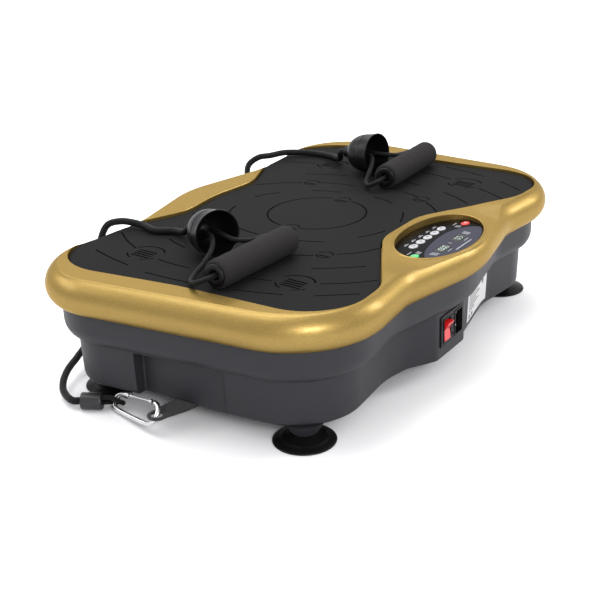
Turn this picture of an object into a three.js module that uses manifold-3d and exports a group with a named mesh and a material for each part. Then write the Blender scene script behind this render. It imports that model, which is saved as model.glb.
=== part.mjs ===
// Vibration plate: a rocking platform with a moulded cover and mat, driven by a belt and two
// eccentrics inside a moulded tub on four suction feet, with two elastic bands and handles.
// Millimetres. X runs along the plate, -Y is the front with the control panel and the mains
// inlet, +Z is up. The origin is on the ground, under the middle of the cover.
import * as THREE from 'three';
import { mergeVertices } from 'three/addons/utils/BufferGeometryUtils.js';
import Module from 'manifold-3d';

const wasm = await Module();
wasm.setup();

// ---- driving dimensions -------------------------------------------------------------------
const GAP = 0.3; // between pieces that touch

// cover
const DECK_HEIGHT = 139.3; // flat rim of the cover above the ground
const END_HALF = 261.5; // middle of the cover to its end, at the top edge
const LOBE_TAPER = 16; // the rear corners stand this much further out, the front ones less
const LOBE_FRONT = 172; // middle to the front corner lobes, before rounding
const LOBE_REAR = 166; // middle to the rear corner lobes
const WAIST_X = 109; // middle to the waists, along the plate
const WAIST_FRONT = 158;
const WAIST_REAR = 150;
const BULGE_FRONT = 180; // middle to the bulges between the waists, before rounding
const BULGE_REAR = 175;
const COVER_DEPTH = 35.3; // flat rim down to the lower edge of the skirt
const SIDE_BULGE = 13; // how far the rolled side stands out past the top edge
const SIDE_FOOT = 4.5; // and how far its lower edge does
const COVER_WALL = 2.5;
const COVER_TOP_WALL = 3.3; // under the mat

// mat
const MAT_THICKNESS = 4;
const MAT_RECESS = 7.3; // depth of the recess that holds the mat
const MAT_GAP = 1.2; // mat edge to recess wall
const MAT_END = 236.5; // middle of the mat to the hollow in each end
const MAT_FRONT = 160;
const MAT_WAIST = 82.35; // end of the panel to where the mat's front edge straightens
const MAT_REAR = 166;

// tub
const FOOT_CLEARANCE = 21; // underside of the tub above the ground
const TUB_WALL = 3;
const SKIRT_GAP = 3.2; // inside of the cover's skirt to the tub's upper band
const BAND_TOP = 113;
const SHOULDER_Z = 84; // where the band starts to turn in
const LEDGE_Z = 68.5; // where it has reached the lower wall
const LEDGE_STEP = 12.5;
const NOTCH_HALF = 50; // recess in the middle of each end wall
const NOTCH_DEPTH = 9;
const NOTCH_TOP = 66;
const POD_FRONT = 166; // middle to the flat face of the pod that holds the inlet

// control panel
const PANEL_A = 67.5; // half length of the oval face
const PANEL_B = 35.7; // half width
const PANEL_Y = -143;
const PANEL_DROP = 6.3; // face below the flat rim
const FACE_THICKNESS = 2.4;
const FACE_LEDGE = 2.5; // how far the cover supports the face all round
const PANEL_STRIP = 6.5; // face to the margin of the mat
const LIP_RADIUS = 1.9; // rounded lip of the panel's well
const PANEL_FALL = 5.8; // the cover falls this far past the panel, from the mat to the front
const FALL_MARGIN = 8; // past each end of the face before the fall starts to fade
const FALL_FADE = 50;
const BUTTON_LENGTH = 12.5;
const BUTTON_WIDTH = 8.6;
const BUTTON_PITCH = 15.1;
const BUTTON_ROW = 13.2; // mode buttons behind the middle of the panel
const START_X = 56; // start and stop buttons from the middle of the panel
const BUTTON_RISE = 1;
const BUTTON_TRAVEL = 0.6;
const WINDOW_LENGTH = 21;
const WINDOW_WIDTH = 10.5;

// inlet module
const MODULE_LENGTH = 50;
const MODULE_HEIGHT = 33;
const MODULE_X = -17;
const MODULE_Z = 51.5;

// feet
const FOOT_RADIUS = 30;
const FOOT_X = 212;
const FOOT_Y = 115;
const FOOT_NECK = 10;
const BOSS_DROP = 11; // cone under the tub around each foot's neck

// drive
const PLATE_THICKNESS = 3;
const SHAFT_RADIUS = 7.5;
const SHAFT_Y = 38;
const SHAFT_Z = 62;
const ECCENTRIC_THROW = 2;
const ECCENTRIC_RADIUS = 14;
const ARM_X = 140;
const ARM_WIDTH = 16;
const ARM_CLEARANCE = 4.5; // arm bore to the bearing on the eccentric
const BEARING_X = 108;
const PIVOT_RADIUS = 6;
const PIVOT_Z = 92;
const PIVOT_Y = 84; // where the pivot brackets stand
const MOTOR_Y = -52;
const MOTOR_Z = 66;
const MOTOR_RADIUS = 31;
const MOTOR_LENGTH = 92;
const BIG_PULLEY_RADIUS = 30;
const SMALL_PULLEY_RADIUS = 12;
const BELT_X = 44;
const BELT_WIDTH = 10;
const BELT_THICKNESS = 2.5;

// bands and handles
const BAND_DIAMETER = 7.2;
const LOOP_DIAMETER = 5;
const GRIP_RADIUS = 14;
const GRIP_LENGTH = 116;
const GRIP_BORE = 9.6; // bore of the tube under the foam
const TUBE_WALL = 1.6;
const CUP_RADIUS = 24;
const CUP_LENGTH = 46;
const CARABINER_WIRE = 2.5; // radius
const TAB_WIDTH = 25;
const TAB_THICKNESS = 2.5;
const TAB_REACH = 10.5; // end of the cover to the middle of the hole
const TAB_LENGTH = 76; // along the plate, from the hole
const TAB_EYE = 5.8; // radius of the hole

// heights that follow from them
const RECESS_FLOOR = DECK_HEIGHT - MAT_RECESS;
const MAT_TOP = RECESS_FLOOR + GAP + MAT_THICKNESS;
const CEILING = RECESS_FLOOR - COVER_TOP_WALL;
const COVER_FOOT = DECK_HEIGHT - COVER_DEPTH;
const TUB_FLOOR = FOOT_CLEARANCE + TUB_WALL;
const PLATE_Z = TUB_FLOOR + GAP;
const PLATE_TOP = PLATE_Z + PLATE_THICKNESS;
const DECK_PLATE_TOP = CEILING - GAP;
const DECK_PLATE_FOOT = DECK_PLATE_TOP - PLATE_THICKNESS;
const FACE_TOP = DECK_HEIGHT - PANEL_DROP;
const FACE_FOOT = FACE_TOP - FACE_THICKNESS;

// ---- materials ----------------------------------------------------------------------------
const finish = (color, roughness, metalness = 0) => ({ color, roughness, metalness });
const GOLD = finish(0xb2945a, 0.35, 0.6);
const CHARCOAL = finish(0x4a4a4b, 0.8);
const SHELL = finish(0x55565c, 0.5);
const BLACK = finish(0x1d1c20, 0.5);
const STEEL = finish(0x9a9ca0, 0.35, 0.9);
const ZINC = finish(0xc9ccd0, 0.25, 1);
const RUBBER = finish(0x1b1a1b, 0.7);
const FOAM = finish(0x2c282b, 0.95);
const PALE = finish(0xb9bcc8, 0.4);
const RED = finish(0xb31218, 0.35);
const GREEN = finish(0x17b04a, 0.35);
const BOARD = finish(0x1f5a38, 0.5);

const plate = new THREE.Group();

function add(name, geometry, look, group = plate) {
  const mesh = new THREE.Mesh(geometry, new THREE.MeshStandardMaterial(look));
  mesh.name = name;
  group.add(mesh);
  return mesh;
}

// ---- solids -------------------------------------------------------------------------------
function toSolid(geometry) {
  const bare = geometry.clone();
  bare.deleteAttribute('normal');
  bare.deleteAttribute('uv');
  const merged = mergeVertices(bare, 1e-4);
  return new wasm.Manifold(
    new wasm.Mesh({
      numProp: 3,
      vertProperties: new Float32Array(merged.attributes.position.array),
      triVerts: new Uint32Array(merged.index.array),
    }),
  );
}

function toGeometry(solid) {
  const mesh = solid.getMesh();
  const geometry = new THREE.BufferGeometry();
  geometry.setAttribute('position', new THREE.BufferAttribute(new Float32Array(mesh.vertProperties), 3));
  geometry.setIndex(new THREE.BufferAttribute(new Uint32Array(mesh.triVerts), 1));
  return geometry;
}

const join = (...solids) => solids.reduce((a, b) => a.add(b));
const cut = (body, ...tools) => tools.reduce((a, b) => a.subtract(b), body);

function box(x0, x1, y0, y1, z0, z1) {
  const geometry = new THREE.BoxGeometry(x1 - x0, y1 - y0, z1 - z0);
  geometry.translate((x0 + x1) / 2, (y0 + y1) / 2, (z0 + z1) / 2);
  return toSolid(geometry);
}

// a cylinder along one axis, centred on a point
function rod(axis, radius, length, x, y, z, sides = 32) {
  const geometry = new THREE.CylinderGeometry(radius, radius, length, sides);
  if (axis === 'x') geometry.rotateZ(-Math.PI / 2);
  if (axis === 'z') geometry.rotateX(Math.PI / 2);
  geometry.translate(x, y, z);
  return toSolid(geometry);
}

// a turned shape from [radius, height] points that start and end on the axis, or form a ring
function turned(points, sides = 32) {
  const ends = points[0][0] > 0 ? [points[0]] : [];
  const profile = [...points, ...ends].map((p) => new THREE.Vector2(p[0], p[1]));
  const geometry = new THREE.LatheGeometry(profile, sides);
  geometry.rotateX(Math.PI / 2);
  return geometry;
}

// ---- outlines -----------------------------------------------------------------------------
// corners are [x, y, radius], anticlockwise; every corner becomes an arc tangent to both edges,
// and each point of the outline carries the normal that an offset follows
function rounded(corners, step = 13) {
  const points = [];
  corners.forEach(([x, y, radius], i) => {
    const [ax, ay] = corners[(i + corners.length - 1) % corners.length];
    const [bx, by] = corners[(i + 1) % corners.length];
    const before = new THREE.Vector2(x - ax, y - ay).normalize();
    const after = new THREE.Vector2(bx - x, by - y).normalize();
    const turn = Math.atan2(before.cross(after), before.dot(after));
    const side = Math.sign(turn);
    const reach = radius * Math.tan(Math.abs(turn) / 2);
    const centre = new THREE.Vector2(x - before.x * reach, y - before.y * reach);
    centre.add(new THREE.Vector2(-before.y, before.x).multiplyScalar(side * radius));
    const start = Math.atan2(before.y, before.x) - Math.PI / 2;
    const count = Math.max(2, Math.round(THREE.MathUtils.radToDeg(Math.abs(turn)) / step));
    for (let k = 0; k <= count; k++) {
      const angle = start + (turn * k) / count;
      const nx = Math.cos(angle);
      const ny = Math.sin(angle);
      points.push({ x: centre.x + side * radius * nx, y: centre.y + side * radius * ny, nx, ny });
    }
  });
  return points;
}

// the corners of the right half, from the middle of the front to the middle of the rear, and
// their mirror images on the left
function mirrored(half) {
  const left = half.filter(([x]) => x > 0).map(([x, y, radius]) => [-x, y, radius]);
  return [...half, ...left.reverse()];
}

function oval(a, b, x, y, count = 48) {
  return Array.from({ length: count }, (_, i) => {
    const t = (2 * Math.PI * i) / count;
    const n = new THREE.Vector2(Math.cos(t) / a, Math.sin(t) / b).normalize();
    return { x: x + a * Math.cos(t), y: y + b * Math.sin(t), nx: n.x, ny: n.y };
  });
}

// a closed body through rings of [offset, z] around one outline
function loft(outline, profile) {
  const count = outline.length;
  const rings = profile.map(([offset, z]) =>
    outline.map((p) => [p.x + p.nx * offset, p.y + p.ny * offset, z]),
  );
  const position = rings.flat(2);
  const index = [];
  for (let r = 0; r + 1 < rings.length; r++) {
    for (let i = 0; i < count; i++) {
      const j = (i + 1) % count;
      const a = r * count + i;
      const b = r * count + j;
      index.push(a, b, b + count, a, b + count, a + count);
    }
  }
  const last = (rings.length - 1) * count;
  const flat = (ring) => ring.map(([x, y]) => new THREE.Vector2(x, y));
  for (const [a, b, c] of THREE.ShapeUtils.triangulateShape(flat(rings[0]), [])) index.push(a, c, b);
  for (const [a, b, c] of THREE.ShapeUtils.triangulateShape(flat(rings.at(-1)), [])) {
    index.push(last + a, last + b, last + c);
  }
  const geometry = new THREE.BufferGeometry();
  geometry.setAttribute('position', new THREE.Float32BufferAttribute(position, 3));
  geometry.setIndex(index);
  return toSolid(geometry);
}

const slab = (outline, offset, z0, z1) => loft(outline, [[offset, z0], [offset, z1]]);

// ---- cover, mat and platform --------------------------------------------------------------
const coverOutline = rounded(
  mirrored([
    [0, -BULGE_FRONT, 150],
    [WAIST_X, -WAIST_FRONT, 90],
    [END_HALF - LOBE_TAPER, -LOBE_FRONT, 80],
    [END_HALF + LOBE_TAPER, LOBE_REAR, 66],
    [WAIST_X, WAIST_REAR, 90],
    [0, BULGE_REAR, 120],
  ]),
);

const matOutline = rounded(
  mirrored([
    [0.56 * PANEL_A, PANEL_Y + PANEL_B + PANEL_STRIP + 3.8, 60],
    [PANEL_A + MAT_WAIST, -MAT_FRONT, 60],
    [MAT_END, -MAT_FRONT - 4, 55],
    [MAT_END, 0, 250],
    [MAT_END + 17, MAT_REAR, 60],
    [130, MAT_REAR - 8, 60],
    [62, MAT_REAR - 37, 60],
    [0, MAT_REAR - 30, 150],
  ]),
);

// the rolled side of the cover: [offset, z] points on the arc through the top edge, the fullest
// point and the lower edge, set in by a wall
function rolledSide(wall, steps) {
  const half = COVER_DEPTH / 2;
  const sagitta = SIDE_BULGE - SIDE_FOOT / 2;
  const radius = (half * half + sagitta * sagitta) / (2 * sagitta);
  const spread = Math.asin(half / radius);
  const points = [];
  for (let i = 0; i <= steps; i++) {
    const t = i / steps;
    const angle = -spread + 2 * spread * t;
    const across = radius * Math.cos(angle) - (radius - sagitta) + SIDE_FOOT * (1 - t);
    points.push([across - wall * Math.cos(angle), COVER_FOOT + half + radius * Math.sin(angle) - wall * Math.sin(angle)]);
  }
  return points;
}

const panelOval = (grow) => oval(PANEL_A + grow, PANEL_B + grow, 0, PANEL_Y);

// the cover's top falls away round the panel, from the mat to the front edge
const eased = (t) => {
  const c = Math.min(1, Math.max(0, t));
  return c * c * (3 - 2 * c);
};
function topAt(x, y) {
  const across = eased((PANEL_A + FALL_MARGIN + FALL_FADE - Math.abs(x)) / FALL_FADE);
  const along = Math.max(0, (PANEL_Y + PANEL_B - y) / (2 * PANEL_B + 3));
  const beyond = Math.max(0, PANEL_Y - PANEL_B - 3.3 - y);
  return DECK_HEIGHT - across * (PANEL_FALL * along ** 1.3 + 0.06 * beyond ** 2);
}

// the triangles of a ring of sections, closed both ways
function ringOf(count, sides, pointAt) {
  const corners = [];
  for (let i = 0; i < count; i++) {
    for (let k = 0; k < sides; k++) {
      const [a, b] = [pointAt(i, k), pointAt((i + 1) % count, k)];
      const [c, d] = [pointAt((i + 1) % count, (k + 1) % sides), pointAt(i, (k + 1) % sides)];
      corners.push(...a, ...b, ...c, ...a, ...c, ...d);
    }
  }
  return corners;
}

function solidFrom(corners) {
  const geometry = new THREE.BufferGeometry();
  geometry.setAttribute('position', new THREE.Float32BufferAttribute(corners, 3));
  return toSolid(geometry);
}

// everything above the falling top, as a grid of columns
function aboveFall(columns, rows) {
  const reach = PANEL_A + FALL_MARGIN + FALL_FADE;
  const far = PANEL_Y + PANEL_B + 1;
  const near = PANEL_Y - PANEL_B - 23;
  const roof = DECK_HEIGHT + 12;
  const spot = (i, j) => [-reach + (2 * reach * i) / columns, near + ((far - near) * j) / rows];
  const low = (i, j) => {
    const [x, y] = spot(i, j);
    return [x, y, topAt(x, y) + 0.1];
  };
  const high = (i, j) => [...spot(i, j), roof];
  const corners = [];
  const quad = (a, b, c, d) => corners.push(...a, ...b, ...c, ...a, ...c, ...d);
  for (let i = 0; i < columns; i++) {
    for (let j = 0; j < rows; j++) {
      quad(low(i, j), low(i, j + 1), low(i + 1, j + 1), low(i + 1, j));
      quad(high(i, j), high(i + 1, j), high(i + 1, j + 1), high(i, j + 1));
    }
    quad(low(i, 0), low(i + 1, 0), high(i + 1, 0), high(i, 0));
    quad(low(i + 1, rows), low(i, rows), high(i, rows), high(i + 1, rows));
  }
  for (let j = 0; j < rows; j++) {
    quad(low(0, j + 1), low(0, j), high(0, j), high(0, j + 1));
    quad(low(columns, j), low(columns, j + 1), high(columns, j + 1), high(columns, j));
  }
  return solidFrom(corners);
}

// the rounded lip follows the falling top round the well
function panelLip(sides) {
  const line = panelOval(LIP_RADIUS - 0.4);
  const pointAt = (i, k) => {
    const { x, y, nx, ny } = line[i];
    const angle = (2 * Math.PI * k) / sides;
    const out = LIP_RADIUS * Math.cos(angle);
    return [x + nx * out, y + ny * out, topAt(x, y) - 1.1 + LIP_RADIUS * Math.sin(angle)];
  };
  return solidFrom(ringOf(line.length, sides, pointAt));
}

function topCover() {
  const outside = loft(coverOutline, rolledSide(0, 9));
  const inner = rolledSide(COVER_WALL, 7).filter(([, z]) => z < CEILING - 2 && z > COVER_FOOT + 1);
  const mouth = [[SIDE_FOOT - COVER_WALL, COVER_FOOT - 1], ...inner, [inner.at(-1)[0] - 2, CEILING]];
  return cut(
    cut(outside, aboveFall(24, 14)).add(panelLip(8)),
    loft(coverOutline, mouth),
    slab(matOutline, MAT_GAP, RECESS_FLOOR, DECK_HEIGHT + 5),
    slab(panelOval(GAP), 0, FACE_FOOT - GAP, DECK_HEIGHT + 5),
    slab(panelOval(-FACE_LEDGE), 0, CEILING - 1, DECK_HEIGHT + 5),
  );
}

add('top_cover', toGeometry(topCover()), GOLD);
add('mat', toGeometry(slab(matOutline, 0, RECESS_FLOOR + GAP, MAT_TOP)), CHARCOAL);

// steel plate under the cover that carries the load, clear of the panel's board
const deckPlate = cut(
  slab(matOutline, -14, DECK_PLATE_FOOT, DECK_PLATE_TOP),
  slab(panelOval(2), 0, DECK_PLATE_FOOT - 1, DECK_PLATE_TOP + 1),
);
add('deck_plate', toGeometry(deckPlate), STEEL);

// ---- control panel ------------------------------------------------------------------------
const modeButtons = Array.from({ length: 5 }, (_, i) => [(i - 2) * BUTTON_PITCH - 1, PANEL_Y + BUTTON_ROW]);
const buttons = [
  ...modeButtons.map(([x, y], i) => ({ name: `mode_button_${i + 1}`, x, y, look: PALE })),
  { name: 'start_button', x: -START_X, y: PANEL_Y - 1, look: GREEN },
  { name: 'stop_button', x: START_X, y: PANEL_Y - 1, look: RED },
];
const windows = [
  { name: 'time_window', x: -23, y: PANEL_Y - 14.5, length: WINDOW_LENGTH, width: WINDOW_WIDTH },
  { name: 'speed_window', x: 13, y: PANEL_Y - 14.5, length: WINDOW_LENGTH, width: WINDOW_WIDTH },
];
const buttonOval = (b, grow) => oval(BUTTON_LENGTH / 2 + grow, BUTTON_WIDTH / 2 + grow, b.x, b.y, 24);

const windowDepth = 1;
const face = cut(
  slab(panelOval(0), 0, FACE_FOOT, FACE_TOP),
  ...buttons.map((b) => slab(buttonOval(b, GAP), 0, FACE_FOOT - 1, FACE_TOP + 1)),
  ...windows.map(({ x, y, length, width }) =>
    box(x - length / 2 - GAP, x + length / 2 + GAP, y - width / 2 - GAP, y + width / 2 + GAP,
      FACE_TOP - windowDepth, FACE_TOP + 1)),
);
add('control_face', toGeometry(face), BLACK);
for (const { name, x, y, length, width } of windows) {
  const pane = box(x - length / 2, x + length / 2, y - width / 2, y + width / 2,
    FACE_TOP - windowDepth + GAP, FACE_TOP + 0.1);
  add(name, toGeometry(pane), BLACK);
}

// each button is a domed cap with a flange under the face, over a switch on the board
const flangeTop = FACE_FOOT - GAP - 0.2;
for (const button of buttons) {
  const cap = loft(buttonOval(button, 0), [
    [1.2, flangeTop - 1.2], [1.2, flangeTop], [0, flangeTop + 0.01], [0, FACE_TOP + BUTTON_RISE * 0.4],
    [-0.8, FACE_TOP + BUTTON_RISE * 0.85], [-2.2, FACE_TOP + BUTTON_RISE],
  ]);
  add(button.name, toGeometry(cap), button.look);
}

// circuit board with a post under each end, hung from the face
const boardTop = flangeTop - 1.2 - BUTTON_TRAVEL - GAP;
const board = slab(panelOval(-FACE_LEDGE - 4), 0, boardTop - 1.6, boardTop);
const posts = [[-34, 2], [34, 2], [0, -28]].map(([x, y]) =>
  rod('z', 2, FACE_FOOT - GAP - boardTop + 1, x, PANEL_Y + y, (FACE_FOOT - GAP + boardTop - 1) / 2, 16));
add('control_board', toGeometry(join(board, ...posts)), BOARD);

// ---- tub ----------------------------------------------------------------------------------
const bandOffset = SIDE_FOOT - COVER_WALL - SKIRT_GAP;
const lowerOffset = bandOffset - LEDGE_STEP;
const shoulder = Array.from({ length: 5 }, (_, i) => {
  const t = ((i + 1) / 5) * (Math.PI / 2);
  return [
    bandOffset - LEDGE_STEP * (1 - Math.cos(t)),
    SHOULDER_Z - (SHOULDER_Z - LEDGE_Z) * Math.sin(t),
  ];
});
const tubProfile = [
  [lowerOffset - 6, FOOT_CLEARANCE], [lowerOffset - 3, FOOT_CLEARANCE + 1], [lowerOffset - 1.8, FOOT_CLEARANCE + 4],
  [lowerOffset, LEDGE_Z], ...shoulder.slice(0, 4).reverse(), [bandOffset, SHOULDER_Z], [bandOffset, BAND_TOP],
];

function notches(grow) {
  const reach = END_HALF + lowerOffset - NOTCH_DEPTH - grow;
  return [-1, 1].map((side) => {
    const x0 = side > 0 ? reach : -END_HALF - 60;
    const x1 = side > 0 ? END_HALF + 60 : -reach;
    return box(x0, x1, -NOTCH_HALF - grow, NOTCH_HALF + grow, FOOT_CLEARANCE - 10, NOTCH_TOP + grow);
  });
}

const feet = [[-1, -1], [1, -1], [-1, 1], [1, 1]].map(([sx, sy], i) => ({
  name: `foot_${i + 1}`, x: sx * FOOT_X, y: sy * FOOT_Y,
}));

const POD_FLANK = 45; // the pod's sides run back into the wall over this length
const modulePocket = box(MODULE_X - MODULE_LENGTH / 2 + 2, MODULE_X + MODULE_LENGTH / 2 - 2,
  -POD_FRONT - 5, -POD_FRONT + 40, MODULE_Z - MODULE_HEIGHT / 2 + 3, MODULE_Z + MODULE_HEIGHT / 2 - 3);
const podX = MODULE_LENGTH / 2 + 5;
const podTop = SHOULDER_Z + 2;

function bossFor({ x, y }) {
  return toSolid(turned([
    [0, FOOT_CLEARANCE - BOSS_DROP], [FOOT_NECK + 3, FOOT_CLEARANCE - BOSS_DROP], [FOOT_NECK + 10, FOOT_CLEARANCE + 1],
    [0, FOOT_CLEARANCE + 1],
  ]).translate(x, y, 0));
}

function lowerHousing() {
  const outside = cut(loft(coverOutline, tubProfile), ...notches(0));
  const podLine = rounded([
    [MODULE_X - podX - POD_FLANK, 26 - POD_FRONT, 2], [MODULE_X - podX, -POD_FRONT, 14],
    [MODULE_X + podX, -POD_FRONT, 14], [MODULE_X + podX + POD_FLANK, 26 - POD_FRONT, 2],
  ]);
  const pod = slab(podLine, 0, FOOT_CLEARANCE + 2, podTop);
  const inside = cut(
    loft(coverOutline, [
      [lowerOffset - 2 - TUB_WALL, TUB_FLOOR], [lowerOffset - TUB_WALL, LEDGE_Z + 1],
      [bandOffset - TUB_WALL, SHOULDER_Z + 2], [bandOffset - TUB_WALL, BAND_TOP + 1],
    ]),
    ...notches(TUB_WALL),
  );
  const necks = feet.map(({ x, y }) => rod('z', FOOT_NECK + GAP, 60, x, y, FOOT_CLEARANCE));
  return cut(join(outside, pod, ...feet.map(bossFor)), inside, modulePocket, ...necks);
}

add('lower_housing', toGeometry(lowerHousing()), SHELL);

const basePlate = cut(
  slab(coverOutline, lowerOffset - 2 - TUB_WALL - 6, PLATE_Z, PLATE_TOP),
  ...notches(TUB_WALL + 3),
  box(MODULE_X - podX, MODULE_X + podX, -POD_FRONT - 5, -POD_FRONT + 45, PLATE_Z - 1, PLATE_TOP + 1),
);
add('base_plate', toGeometry(basePlate), STEEL);

// suction foot: a dished rubber disc with a neck that plugs into the boss
for (const { name, x, y } of feet) {
  const geometry = turned([
    [0, 3.2], [FOOT_RADIUS * 0.5, 2.2], [FOOT_RADIUS - 4, 0], [FOOT_RADIUS, 0], [FOOT_RADIUS, 1.6],
    [FOOT_RADIUS * 0.8, 3.8], [FOOT_RADIUS * 0.55, 6.2], [FOOT_NECK, FOOT_CLEARANCE - BOSS_DROP - GAP],
    [FOOT_NECK, TUB_FLOOR - 0.2], [0, TUB_FLOOR - 0.2],
  ], 28);
  add(name, geometry, RUBBER).position.set(x, y, 0);
}

// ---- inlet module -------------------------------------------------------------------------
const moduleFront = -POD_FRONT - 1.6;
const moduleLeft = MODULE_X - MODULE_LENGTH / 2;
const rockerX = moduleLeft + 12.5;
const rockerHalf = [6.8, 11.5];
const drawerX = moduleLeft + 24;
const drawerHalf = [3, 11.5];
const inletX = MODULE_X + MODULE_LENGTH / 2 - 12.5;
const inletHalf = [7.6, 12.4];
const inletDepth = 16;

function inletModule() {
  const flange = box(moduleLeft, moduleLeft + MODULE_LENGTH, moduleFront, -POD_FRONT - GAP,
    MODULE_Z - MODULE_HEIGHT / 2, MODULE_Z + MODULE_HEIGHT / 2);
  const body = box(moduleLeft + 2 + GAP, moduleLeft + MODULE_LENGTH - 2 - GAP, -POD_FRONT - 1, -POD_FRONT + 26,
    MODULE_Z - MODULE_HEIGHT / 2 + 3 + GAP, MODULE_Z + MODULE_HEIGHT / 2 - 3 - GAP);
  const hollow = (x, [a, b], depth, grow = 0) =>
    box(x - a - grow, x + a + grow, moduleFront - 3, moduleFront + depth, MODULE_Z - b - grow, MODULE_Z + b + grow);
  return cut(join(flange, body), hollow(rockerX, rockerHalf, 18, GAP), hollow(drawerX, drawerHalf, 22, GAP),
    hollow(inletX, inletHalf, inletDepth));
}
add('inlet_module', toGeometry(inletModule()), BLACK);

// the three flat pins of the inlet, on the strip that joins their wires
const pinStart = moduleFront + 3.5;
const pinBack = moduleFront + inletDepth - GAP;
const pins = [[-2.6, 0], [2.2, -7], [2.2, 7]].map(([dx, dz]) =>
  box(inletX + dx - 2, inletX + dx + 2, pinStart, pinBack, MODULE_Z + dz - 1, MODULE_Z + dz + 1));
const pinStrip = box(inletX - 5, inletX + 5, pinBack - 1.2, pinBack, MODULE_Z - 9, MODULE_Z + 9);
add('inlet_pins', toGeometry(join(pinStrip, ...pins)), ZINC);

add('fuse_drawer', toGeometry(box(drawerX - drawerHalf[0], drawerX + drawerHalf[0], moduleFront - 0.6, moduleFront + 21,
  MODULE_Z - drawerHalf[1], MODULE_Z + drawerHalf[1])), BLACK);

// rocker: a wedge-faced key on a pin across its middle, its lower end pressed in
const rockerTilt = THREE.MathUtils.degToRad(11);
const rockerPivot = moduleFront + 4;
function rockerKey() {
  const [a, b] = rockerHalf;
  const shape = new THREE.Shape();
  shape.moveTo(-7.2, -b + 1.2);
  shape.lineTo(-4, 0);
  shape.lineTo(-7.2, b - 1.2);
  shape.lineTo(5, b - 3.4);
  shape.lineTo(5, -b + 3.4);
  shape.closePath();
  const geometry = new THREE.ExtrudeGeometry(shape, { depth: 2 * (a - 0.6), bevelEnabled: false });
  geometry.translate(0, 0, -(a - 0.6));
  geometry.rotateY(Math.PI / 2);
  geometry.rotateX(Math.PI / 2);
  return toGeometry(toSolid(geometry));
}
const rocker = add('rocker_switch', rockerKey(), RED);
rocker.position.set(rockerX, rockerPivot, MODULE_Z);
rocker.rotation.x = rockerTilt;

// ---- drive --------------------------------------------------------------------------------
const standZ = PLATE_TOP + GAP; // what stands on the base plate
const hangZ = DECK_PLATE_FOOT - GAP; // what hangs from the deck plate
const LUG_THICKNESS = 8;
const LUG_STEP = LUG_THICKNESS + 2; // bracket to the lug beside it

// the platform rocks about a fixed shaft in two brackets
add('pivot_shaft', toGeometry(rod('y', PIVOT_RADIUS, 2 * (PIVOT_Y + LUG_THICKNESS), 0, 0, PIVOT_Z)), STEEL);
for (const [side, word] of [[-1, 'front'], [1, 'rear']]) {
  const y = side * PIVOT_Y;
  const bracket = cut(
    join(
      box(-24, 24, y - LUG_THICKNESS / 2, y + LUG_THICKNESS / 2, standZ, PIVOT_Z),
      rod('y', 24, LUG_THICKNESS, 0, y, PIVOT_Z),
      box(-34, 34, y - 12, y + 12, standZ, standZ + 4),
    ),
    rod('y', PIVOT_RADIUS + GAP, 40, 0, y, PIVOT_Z),
  );
  add(`pivot_bracket_${word}`, toGeometry(bracket), STEEL);
  const inner = y - side * LUG_STEP;
  const lug = cut(
    join(
      box(-13, 13, inner - LUG_THICKNESS / 2, inner + LUG_THICKNESS / 2, PIVOT_Z, hangZ),
      rod('y', 13, LUG_THICKNESS, 0, inner, PIVOT_Z),
      box(-26, 26, inner - 9, inner + 9, hangZ - 4, hangZ),
    ),
    rod('y', PIVOT_RADIUS + GAP, 40, 0, inner, PIVOT_Z),
  );
  add(`pivot_lug_${word}`, toGeometry(lug), STEEL);
}

// drive shaft with an eccentric at each end, half a turn apart
const eccentrics = [-1, 1].map((side) =>
  rod('x', ECCENTRIC_RADIUS, ARM_WIDTH + 2, side * ARM_X, SHAFT_Y, SHAFT_Z + side * ECCENTRIC_THROW));
const driveShaft = join(rod('x', SHAFT_RADIUS, 2 * (ARM_X + ARM_WIDTH), 0, SHAFT_Y, SHAFT_Z), ...eccentrics);
add('drive_shaft', toGeometry(driveShaft), STEEL);

for (const [side, word] of [[-1, 'left'], [1, 'right']]) {
  const x = side * ARM_X;
  const ring = ECCENTRIC_RADIUS + ARM_CLEARANCE + 6;
  const arm = cut(
    join(
      rod('x', ring, ARM_WIDTH, x, SHAFT_Y, SHAFT_Z),
      box(x - ARM_WIDTH / 2, x + ARM_WIDTH / 2, SHAFT_Y - 11, SHAFT_Y + 11, SHAFT_Z + ring - 4, hangZ),
      box(x - 20, x + 20, SHAFT_Y - 20, SHAFT_Y + 20, hangZ - 4, hangZ),
    ),
    rod('x', ECCENTRIC_RADIUS + ARM_CLEARANCE, 60, x, SHAFT_Y, SHAFT_Z),
  );
  add(`drive_arm_${word}`, toGeometry(arm), STEEL);
  const bx = side * BEARING_X;
  const block = cut(
    join(
      rod('x', 18, 16, bx, SHAFT_Y, SHAFT_Z),
      box(bx - 8, bx + 8, SHAFT_Y - 18, SHAFT_Y + 18, standZ, SHAFT_Z),
      box(bx - 8, bx + 8, SHAFT_Y - 30, SHAFT_Y + 30, standZ, standZ + 6),
    ),
    rod('x', SHAFT_RADIUS + GAP, 40, bx, SHAFT_Y, SHAFT_Z),
  );
  add(`bearing_block_${word}`, toGeometry(block), STEEL);
}

// pulleys with a flange each side of the belt
function pulley(radius, bore, x, y, z) {
  const rims = [-1, 1].map((side) => rod('x', radius + 3, 1.5, x + side * (BELT_WIDTH / 2 + 1.3), y, z, 28));
  const body = join(rod('x', radius, BELT_WIDTH + 2, x, y, z, 28), ...rims);
  return bore > 0 ? cut(body, rod('x', bore, BELT_WIDTH * 3, x, y, z)) : body;
}
add('driven_pulley', toGeometry(pulley(BIG_PULLEY_RADIUS, SHAFT_RADIUS + GAP, BELT_X, SHAFT_Y, SHAFT_Z)), STEEL);

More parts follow.
